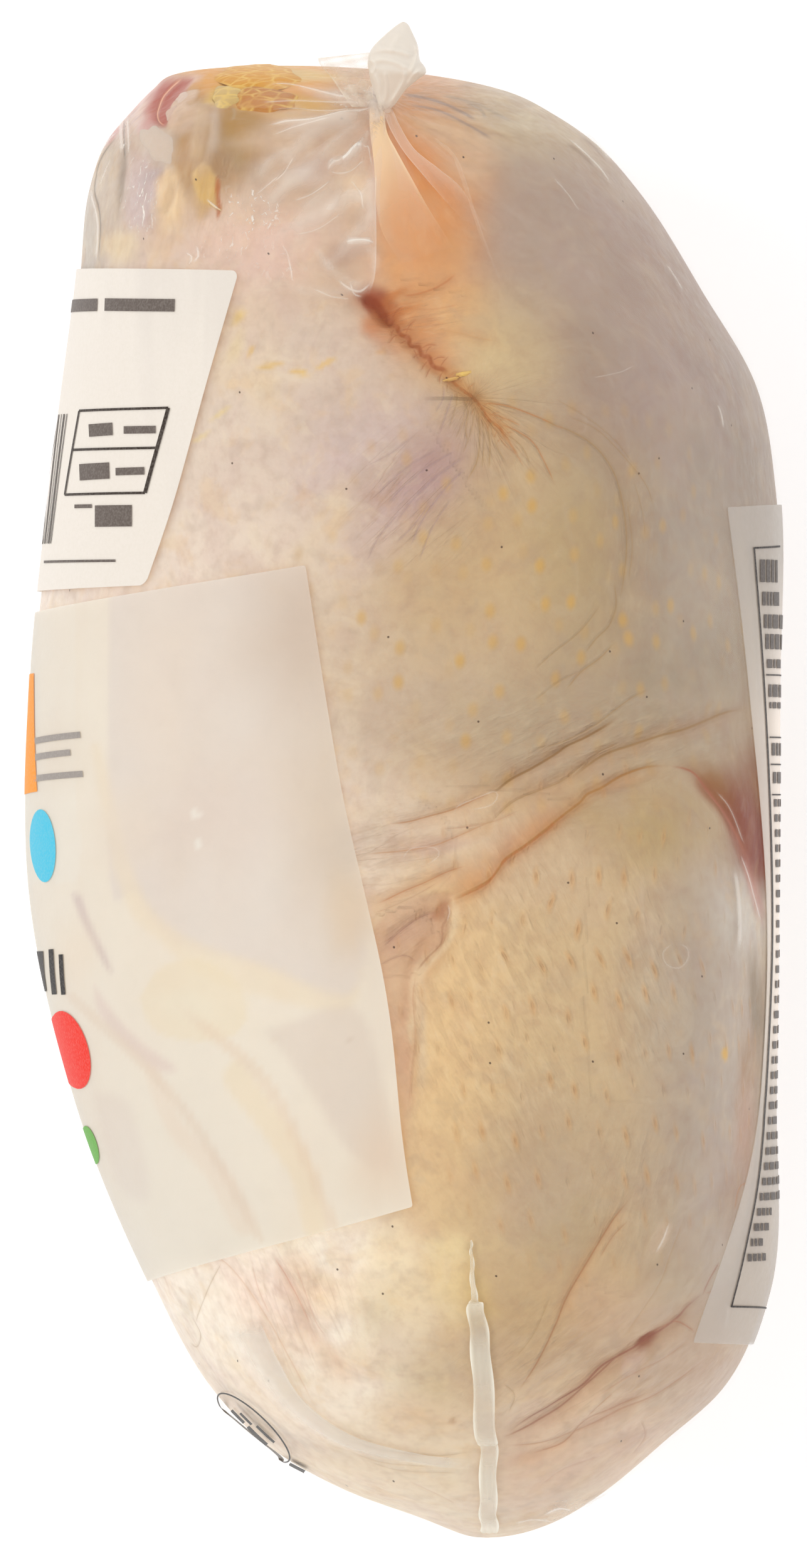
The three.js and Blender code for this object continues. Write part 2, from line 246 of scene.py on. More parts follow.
# Areas of the skin's colour: middle and reach in picture pixels, colour, weight
SKIN_AREAS = {
    "leg": ((430, 700), (200, 230), (222, 203, 185), 1),
    "leg_shade": ((650, 770), (130, 100), (188, 159, 146), 1),
    "leg_below": ((560, 700), (120, 120), (202, 178, 163), 0.7),
    "knee": ((640, 1050), (220, 180), (203, 178, 147), 1),
    "behind_crease": ((800, 850), (130, 200), (202, 174, 133), 1),
    "thigh": ((960, 900), (110, 200), (179, 156, 129), 1),
    "hip": ((960, 480), (220, 240), (174, 152, 138), 1),
    "hip_lavender": ((850, 400), (90, 160), (182, 160, 142), 0.7),
    "tail_rim": ((860, 180), (170, 70), (205, 186, 154), 1),
    "tail_skin": ((686, 330), (74, 170), (220, 148, 90), 1.8),
    "tail_skin_low": ((700, 490), (80, 80), (232, 184, 128), 1),
    "crease_right": ((800, 560), (100, 80), (222, 198, 148), 1),
    "inner_leg": ((500, 350), (100, 120), (207, 174, 142), 1.2),
    "cut_muscle": ((400, 400), (80, 80), (229, 200, 181), 1.2),
    "vent": ((325, 235), (70, 64), (170, 129, 80), 2),
    "hock": ((250, 320), (40, 60), (224, 194, 158), 1),
    "hock_side": ((175, 300), (26, 70), (200, 182, 162), 1.2),
    "hock_frost": ((222, 320), (26, 56), (204, 184, 184), 1.4),
    "hock_rim": ((205, 160), (40, 40), (232, 196, 188), 1),
    "side_film": ((122, 390), (26, 90), (196, 184, 170), 1.6),
    "fat_corner": ((410, 126), (70, 34), (226, 158, 30), 2.4),
    "hip_low": ((1150, 700), (70, 160), (162, 146, 132), 1.2),
    "thigh_back": ((1080, 900), (80, 180), (180, 165, 148), 1.2),
    "flank_back": ((1080, 1060), (90, 70), (166, 150, 130), 1),
    "flank": ((880, 1150), (250, 90), (176, 158, 136), 1),
    "wing_fold": ((650, 1330), (130, 60), (220, 200, 180), 1),
    "wing_fold_shade": ((650, 1490), (70, 60), (209, 173, 137), 1),
    "wing": ((900, 1700), (240, 420), (211, 184, 145), 1),
    "wing_bright": ((720, 1650), (90, 300), (234, 198, 147), 1),
    "wing_top": ((1030, 1300), (130, 60), (186, 160, 126), 1),
    "wing_back": ((1110, 1720), (90, 300), (180, 168, 160), 1),
    "wing_low": ((900, 1850), (140, 120), (178, 158, 138), 0.9),
    "wing_side": ((1200, 1310), (34, 90), (142, 92, 56), 1.6),
    # a painted highlight: paler skin under the film's glint at the wing's right side
    "wing_side_highlight": ((1180, 1450), (40, 60), (211, 202, 189), 1),
    "breast": ((330, 1300), (260, 500), (244, 228, 212), 1),
    "breast_low": ((500, 2090), (140, 110), (255, 244, 226), 2),
    "neck_left": ((420, 2230), (110, 90), (246, 228, 206), 1),
    "neck": ((640, 2370), (150, 100), (240, 220, 192), 1),
    "neck_right": ((930, 2300), (130, 90), (232, 204, 174), 1),
    "shoulder": ((1060, 2180), (90, 90), (204, 177, 154), 1),
    "wing_tip": ((850, 2100), (110, 90), (204, 172, 140), 1),
}
UNDER_SKIN = (216, 192, 164)
FILM_VEIL = 0.045            # the white that the film adds over the skin


def under_film(red, green, blue):
    """The skin's own linear colour where it shows as this colour through the film."""
    return np.maximum((linear(red, green, blue) - FILM_VEIL) / (1 - FILM_VEIL), 0.01)


def skin_colour(x, y, upper):
    """The skin's linear colour, blended between the areas, and one plain tone on the underside."""
    total = np.full(x.shape, 1e-4)
    colour = np.ones(x.shape + (3,)) * under_film(*UNDER_SKIN) * 1e-4
    for middle, reach, tone, weight in SKIN_AREAS.values():
        away = away_from(x, y, middle, reach)
        share = weight * np.exp(-1.3 * away) + 0.02 * weight * np.exp(-0.25 * away)
        total += share
        colour += share[..., None] * under_film(*tone)
    colour /= total[..., None]
    return upper[..., None] * colour + (1 - upper[..., None]) * under_film(*UNDER_SKIN)


# Broad folds of skin and flesh: line in picture pixels, half width and depth in millimetres, how far
# the bottom takes the fold's colour, and that colour, which is painted shade in the fold along with the
# skin's own tone there
RAW = (168, 84, 44)
WARM = (206, 148, 100)
SHADE = (166, 136, 106)
FOLDS = {
    "behind_leg": ([(572, 486), (590, 482), (604, 491), (632, 524), (663, 555), (684, 578), (716, 604),
                    (734, 624), (762, 650), (780, 675), (797, 688), (808, 712)],
                   1.0, 0.7, 0.5, (204, 140, 86)),
    "behind_leg_root": ([(578, 484), (592, 484), (606, 494), (618, 508), (630, 520)], 1.4, 0.5, 0.85, RAW),
    "behind_leg_blush": ([(588, 494), (628, 530), (666, 562), (712, 604)], 2.3, 0.2, 0.45, (212, 154, 112)),
    "behind_leg_glow": ([(700, 592), (745, 628), (785, 672), (820, 706)], 2.0, 0.1, 0.4, (206, 156, 96)),
    "behind_leg_blush_2": ([(600, 482), (640, 505), (680, 545)], 3.2, 0.2, 0.45, (206, 140, 92)),
    "tail_crease": ([(655, 524), (698, 531), (735, 537), (792, 549)], 1.1, 0.5, 0.25, WARM),
    "tail_crease_2": ([(630, 468), (660, 474), (698, 461), (730, 440)], 1.4, 0.6, 0.3, (200, 140, 92)),
    "knee_arc": ([(857, 674), (930, 699), (972, 740), (992, 789), (1002, 855), (996, 953), (986, 1019),
                  (955, 1060)], 1.6, 0.5, 0.12, SHADE),
    "flank_2": ([(980, 1151), (932, 1180), (887, 1206), (815, 1246), (790, 1264), (761, 1274),
                 (726, 1292), (688, 1305), (624, 1315)], 1.3, 0.7, 0.2, WARM),
    "flank_3": ([(1193, 1134), (1136, 1149), (1054, 1175), (972, 1204), (906, 1245)], 1.4, 0.8, 0.2, WARM),
    "flank_4": ([(960, 1206), (897, 1246), (815, 1282), (777, 1315), (718, 1336), (688, 1347),
                 (580, 1361)], 1.2, 0.6, 0.2, WARM),
    "flank_5": ([(744, 1379), (680, 1402), (596, 1440)], 1.2, 0.7, 0.3, WARM),
    "wing_edge": ([(1070, 1220), (960, 1251), (922, 1274), (861, 1318), (800, 1364), (772, 1399),
                   (739, 1420), (713, 1435)], 1.0, 0.7, 0.3, (206, 146, 92)),
    "wing_edge_glow": ([(900, 1282), (830, 1335), (790, 1372), (748, 1408), (715, 1432)], 2.2, 0.0, 0.5,
                       (206, 140, 86)),
    "wing_edge_low": ([(713, 1435), (698, 1481), (680, 1520), (664, 1550), (655, 1640), (643, 1784)],
                      1.6, 0.7, 0.3, (206, 160, 130)),
    "wing_fold_2": ([(698, 1450), (650, 1478), (611, 1512)], 1.3, 0.8, 0.35, (196, 158, 138)),
    "wing_back_edge": ([(1100, 1225), (1123, 1250), (1160, 1291), (1189, 1357), (1214, 1427)],
                       1.2, 0.8, 0.4, (170, 106, 84)),
    "wing_low_1": ([(1000, 1907), (959, 1970), (929, 2015), (907, 2059), (881, 2107)],
                   1.2, 0.6, 0.25, WARM),
    "wing_low_2": ([(1120, 2060), (1099, 2085), (1085, 2103), (1033, 2137), (985, 2166), (959, 2181),
                    (900, 2237), (863, 2262), (800, 2288)], 1.3, 0.9, 0.35, (190, 140, 104)),
    "wing_low_3": ([(1033, 2218), (977, 2248), (914, 2288), (855, 2318), (792, 2331)],
                   1.2, 0.6, 0.25, WARM),
    "neck_fold_1": ([(349, 2014), (310, 2060), (295, 2113), (344, 2219), (430, 2285), (530, 2320),
                     (643, 2338)], 1.4, 0.5, 0.15, SHADE),
    "neck_fold_2": ([(435, 1998), (472, 2072), (496, 2125), (560, 2190)], 1.2, 0.6, 0.3, (214, 168, 134)),
    "vent_2": ([(362, 232), (356, 262), (350, 290)], 1.6, 0.9, 0.5, (184, 152, 122)),
    "vent_3": ([(276, 285), (268, 320), (256, 352)], 0.8, 0.6, 0.3, SHADE),
    "vent_light": ([(342, 170), (340, 230), (326, 270), (310, 290)], 0.7, -0.3, 0.35, (226, 204, 178)),
}

# Thin creases: line in picture pixels, half width in millimetres, strength, colour, which is painted
# shade in the crease along with the skin's own tone there
OLIVE = (166, 130, 82)
RUST = (184, 120, 64)
MAUVE = (166, 136, 134)
CREASES = [
    ([(578, 488), (590, 480), (604, 489), (616, 504), (632, 524)], 0.8, 0.95, (136, 52, 6)),
    ([(618, 514), (634, 522), (640, 534), (652, 540), (656, 552), (668, 556), (674, 568), (684, 572),
      (692, 586), (706, 592), (716, 604)], 0.42, 1.0, (152, 74, 20)),
    ([(708, 598), (722, 612), (734, 624), (750, 636), (764, 652), (780, 675), (797, 688), (808, 712)],
     0.3, 1.0, (172, 104, 50)),
    ([(764, 648), (808, 654), (856, 670), (900, 690)], 0.14, 0.8, RUST),
    ([(790, 679), (824, 693), (850, 711), (868, 742), (884, 776)], 0.12, 0.7, RUST),
    ([(800, 692), (830, 716), (846, 748)], 0.1, 0.5, OLIVE),
    ([(775, 664), (800, 672), (830, 684)], 0.12, 0.6, RUST),
    ([(737, 634), (746, 661), (743, 690), (748, 712)], 0.12, 0.55, OLIVE),
    ([(762, 658), (765, 707), (760, 741), (744, 772)], 0.13, 0.65, OLIVE),
    ([(774, 676), (781, 709), (779, 752)], 0.12, 0.6, OLIVE),
    ([(782, 682), (792, 716), (806, 742)], 0.1, 0.45, OLIVE),
    ([(758, 650), (752, 690), (738, 730)], 0.08, 0.45, OLIVE),
    ([(768, 664), (772, 706), (768, 752)], 0.08, 0.5, OLIVE),
    ([(786, 680), (800, 708), (822, 730), (836, 752)], 0.08, 0.5, RUST),
    ([(730, 622), (728, 650), (716, 690)], 0.08, 0.4, OLIVE),
    ([(742, 640), (740, 674), (726, 706)], 0.08, 0.4, OLIVE),
    ([(800, 690), (812, 712), (824, 730)], 0.2, 0.6, RUST),
    ([(880, 640), (930, 668), (978, 706), (1012, 748)], 0.08, 0.4, OLIVE),
    ([(1010, 770), (1024, 820), (1028, 860)], 0.08, 0.35, OLIVE),
    ([(723, 630), (716, 655), (706, 684), (700, 700)], 0.1, 0.5, MAUVE),
    ([(709, 620), (707, 642), (694, 664)], 0.1, 0.45, MAUVE),
    ([(670, 532), (698, 532), (735, 537), (792, 549)], 0.12, 0.35, (200, 150, 96)),
    ([(640, 478), (664, 474), (698, 461), (728, 441)], 0.2, 0.6, (186, 110, 58)),
    ([(655, 500), (690, 500), (730, 492)], 0.16, 0.35, (196, 132, 84)),
    ([(745, 730), (700, 762), (660, 800), (628, 842)], 0.1, 0.6, MAUVE),
    ([(730, 722), (690, 745), (650, 775), (612, 815)], 0.1, 0.55, MAUVE),
    ([(748, 746), (712, 782), (676, 830), (652, 880)], 0.11, 0.6, MAUVE),
    ([(700, 722), (662, 742), (625, 770), (596, 800)], 0.09, 0.5, MAUVE),
    ([(690, 800), (660, 842), (630, 872)], 0.09, 0.5, MAUVE),
    ([(660, 700), (620, 730), (585, 748)], 0.09, 0.4, MAUVE),
    ([(720, 800), (690, 845), (668, 900)], 0.09, 0.45, MAUVE),
    ([(640, 820), (606, 858), (584, 900)], 0.09, 0.5, MAUVE),
    ([(857, 674), (905, 690), (945, 712), (975, 745), (992, 789), (1002, 855), (999, 910), (990, 965)],
     0.12, 0.65, OLIVE),
    ([(900, 668), (950, 690), (990, 728), (1029, 777), (1044, 820)], 0.1, 0.4, OLIVE),
    ([(1002, 800), (1010, 870), (1004, 930)], 0.09, 0.4, OLIVE),
    ([(980, 930), (984, 968), (972, 1000), (950, 1022), (930, 1048)], 0.13, 0.6, OLIVE),
    ([(980, 1027), (955, 1052), (925, 1074), (902, 1101)], 0.12, 0.65, OLIVE),
    ([(959, 965), (925, 1010), (881, 1045), (850, 1073)], 0.1, 0.5, OLIVE),
    ([(930, 1070), (890, 1090), (850, 1120)], 0.09, 0.35, OLIVE),
    ([(1037, 1101), (1010, 1112), (978, 1135), (946, 1160), (905, 1182), (860, 1196)], 0.11, 0.6, OLIVE),
    ([(985, 1146), (958, 1164), (932, 1180), (905, 1193), (887, 1206), (850, 1228), (815, 1246),
      (790, 1264), (775, 1268)], 0.24, 0.95, (140, 100, 50)),
    ([(785, 1268), (761, 1276), (726, 1292), (688, 1303), (650, 1312), (620, 1314)],
     0.14, 0.75, (176, 118, 70)),
    ([(1197, 1130), (1164, 1136), (1136, 1148), (1098, 1163), (1054, 1175), (1010, 1190), (972, 1204),
      (940, 1222), (906, 1245)], 0.22, 0.85, (156, 118, 68)),
    ([(990, 1186), (955, 1204), (920, 1236)], 0.12, 0.5, OLIVE),
    ([(960, 1206), (925, 1226), (897, 1246), (860, 1262), (815, 1282), (777, 1315)], 0.11, 0.6, OLIVE),
    ([(790, 1306), (760, 1318), (718, 1336), (688, 1347), (640, 1356), (580, 1362)],
     0.13, 0.55, (184, 128, 82)),
    ([(830, 1290), (790, 1308), (740, 1318), (700, 1322)], 0.1, 0.45, (184, 138, 110)),
    ([(744, 1379), (712, 1388), (680, 1402), (640, 1418), (600, 1438)], 0.15, 0.7, (182, 120, 76)),
    ([(700, 1404), (660, 1426), (616, 1446), (596, 1452)], 0.1, 0.45, (184, 140, 110)),
    ([(698, 1454), (672, 1464), (640, 1484), (612, 1506)], 0.13, 0.6, (160, 116, 98)),
    ([(1070, 1219), (1030, 1221), (990, 1234), (960, 1251), (935, 1262), (922, 1274), (890, 1296),
      (861, 1318), (830, 1342), (800, 1364), (788, 1382), (772, 1399), (739, 1420), (713, 1435)],
     0.2, 1.0, (168, 118, 60)),
    ([(890, 1298), (861, 1320), (830, 1344), (800, 1366), (772, 1401), (739, 1422), (715, 1436)],
     0.24, 0.8, (176, 104, 44)),
    # painted shadow beside the wing's jagged edge
    ([(713, 1435), (712, 1456), (702, 1474), (697, 1499), (678, 1524), (664, 1545)],
     0.16, 0.8, (176, 132, 100)),
    ([(668, 1528), (650, 1520), (630, 1524), (604, 1536)], 0.1, 0.5, (170, 126, 106)),
    ([(664, 1545), (656, 1590), (657, 1640), (650, 1700), (646, 1760)], 0.12, 0.5, (196, 150, 116)),
    ([(1066, 1219), (1098, 1226), (1120, 1242), (1147, 1275), (1164, 1298), (1182, 1330), (1200, 1372)],
     0.2, 0.9, (168, 98, 68)),
    ([(1195, 1880), (1180, 1890), (1172, 1925)], 0.12, 0.5, RUST),
    ([(1006, 1900), (978, 1940), (959, 1970), (938, 2005), (929, 2020), (905, 2062), (884, 2108),
      (856, 2166), (822, 2220)], 0.15, 0.8, (166, 112, 72)),
    ([(1035, 2131), (1056, 2118), (1086, 2106), (1110, 2120)], 0.14, 0.7, (176, 112, 80)),
    ([(1013, 2140), (976, 2172), (938, 2206), (900, 2240), (874, 2258), (840, 2276), (800, 2290)],
     0.14, 0.8, (156, 98, 70)),
    ([(798, 2302), (860, 2296), (927, 2280), (992, 2247), (1056, 2215), (1131, 2161)],
     0.12, 0.6, (184, 132, 100)),
    ([(1022, 2262), (1030, 2290), (1010, 2320)], 0.1, 0.5, (184, 132, 100)),
    ([(800, 2200), (820, 2220), (810, 2250)], 0.1, 0.4, OLIVE),
    ([(560, 2296), (620, 2312), (700, 2318), (750, 2312)], 0.1, 0.5, (190, 160, 120)),
    ([(580, 2330), (640, 2344), (730, 2346)], 0.1, 0.4, (200, 168, 130)),
    ([(820, 2160), (850, 2120), (876, 2060)], 0.1, 0.35, OLIVE),
    ([(556, 2318), (610, 2332), (690, 2336)], 0.09, 0.4, (196, 160, 120)),
    ([(300, 1990), (360, 2012), (420, 2090), (470, 2180), (500, 2240)], 0.14, 0.5, (216, 176, 142)),
    ([(650, 2360), (700, 2384), (730, 2400)], 0.1, 0.35, (206, 170, 140)),
    ([(860, 2370), (900, 2340), (960, 2320)], 0.1, 0.4, (196, 150, 122)),
    ([(1000, 1940), (976, 1966), (955, 2000)], 0.1, 0.5, (170, 118, 80)),
    ([(1124, 2056), (1099, 2082), (1082, 2104), (1033, 2137), (985, 2164), (959, 2181), (925, 2214),
      (882, 2237), (842, 2262), (810, 2284)], 0.2, 0.9, (150, 84, 60)),
    ([(1148, 2008), (1130, 2040), (1122, 2062)], 0.14, 0.7, (160, 96, 70)),
    ([(1124, 2060), (1150, 2052), (1176, 2040)], 0.12, 0.5, (176, 120, 96)),
    ([(1033, 2218), (977, 2248), (934, 2262), (914, 2288), (892, 2305), (845, 2320)],
     0.13, 0.65, (176, 118, 84)),
    ([(976, 2216), (950, 2240), (934, 2258)], 0.1, 0.5, (176, 118, 84)),
    ([(1090, 1938), (1070, 1990), (1052, 2040), (1020, 2090), (990, 2130)], 0.1, 0.45, (186, 148, 110)),
    ([(1100, 2130), (1060, 2160), (1000, 2190), (950, 2222)], 0.1, 0.4, (184, 130, 100)),
    ([(435, 1998), (452, 2034), (472, 2072), (490, 2112)], 0.13, 0.55, (206, 146, 116)),
    ([(470, 2010), (484, 2050), (500, 2100), (520, 2130)], 0.1, 0.4, (206, 150, 124)),
    ([(400, 2010), (410, 2050), (428, 2090)], 0.09, 0.35, (206, 150, 124)),
    ([(300, 2100), (316, 2126), (306, 2150), (296, 2142)], 0.12, 0.5, OLIVE),
    ([(306, 2112), (330, 2050), (352, 2010)], 0.12, 0.4, OLIVE),
    ([(640, 150), (690, 160), (730, 176), (765, 196)], 0.3, 0.8, (144, 124, 114)),
    ([(650, 168), (700, 178), (745, 200), (790, 226)], 0.25, 0.7, (150, 130, 120)),
    ([(700, 150), (760, 166), (820, 196)], 0.3, 0.5, (164, 146, 128)),
    ([(740, 160), (768, 176), (776, 192)], 0.35, 0.6, (160, 140, 122)),
    ([(668, 140), (700, 140), (735, 148)], 0.3, 0.45, (194, 146, 104)),
    ([(655, 195), (700, 215), (740, 240)], 0.22, 0.3, (190, 146, 112)),
    ([(905, 228), (928, 244), (952, 266)], 0.3, 0.5, (150, 120, 96)),
    ([(372, 172), (376, 182), (372, 192)], 0.3, 0.5, (176, 148, 110)),
    ([(290, 119), (266, 138), (252, 158), (247, 178), (251, 193), (262, 202)], 0.1, 1.0, (236, 176, 138)),
    # dark lines of the film's folded edge, painted on the skin as shade
    ([(195, 188), (195, 212), (195, 257)], 0.06, 0.9, (112, 102, 92)),
    ([(187, 214), (168, 235), (155, 257), (149, 282), (147, 307), (154, 333), (157, 364), (155, 396),
      (153, 424)], 0.07, 0.9, (116, 100, 86)),
    # a painted highlight along the tail of the fat sliver
    ([(332, 328), (342, 336), (354, 343)], 0.1, 1.0, (246, 222, 170)),
]


def puckers(line, spacing, reach, seed):
    """Short lines that cross a crease, as its gathered skin does, in picture pixels."""
    dense = through(line, 30)
    passed = np.concatenate([[0], np.cumsum(np.hypot(*np.diff(dense, axis=0).T))])
    chance = np.random.default_rng(seed)
    lines = []
    for at in np.arange(spacing, passed[-1] - spacing, spacing):
        i = np.searchsorted(passed, at + chance.uniform(-0.3, 0.3) * spacing)
        way = (dense[i] - dense[i - 1]) / np.linalg.norm(dense[i] - dense[i - 1])
        side = np.array([-way[1], way[0]]) * (1 if len(lines) % 2 else -1)
        length = reach * chance.uniform(0.5, 1.3)
        start = dense[i] + 2 * side
        middle = start + side * length * 0.5 + way * length * chance.uniform(-0.1, 0.3)
        lines.append([tuple(start), tuple(middle), tuple(middle + side * length * 0.5 + way * length * 0.3)])
    return lines


CREASES += [(line, 0.12, 0.6, (168, 96, 58)) for line in puckers(CREASES[1][0], 8, 20, 1)]
CREASES += [(line, 0.1, 0.5, RUST) for line in puckers(CREASES[2][0], 9, 14, 2)]

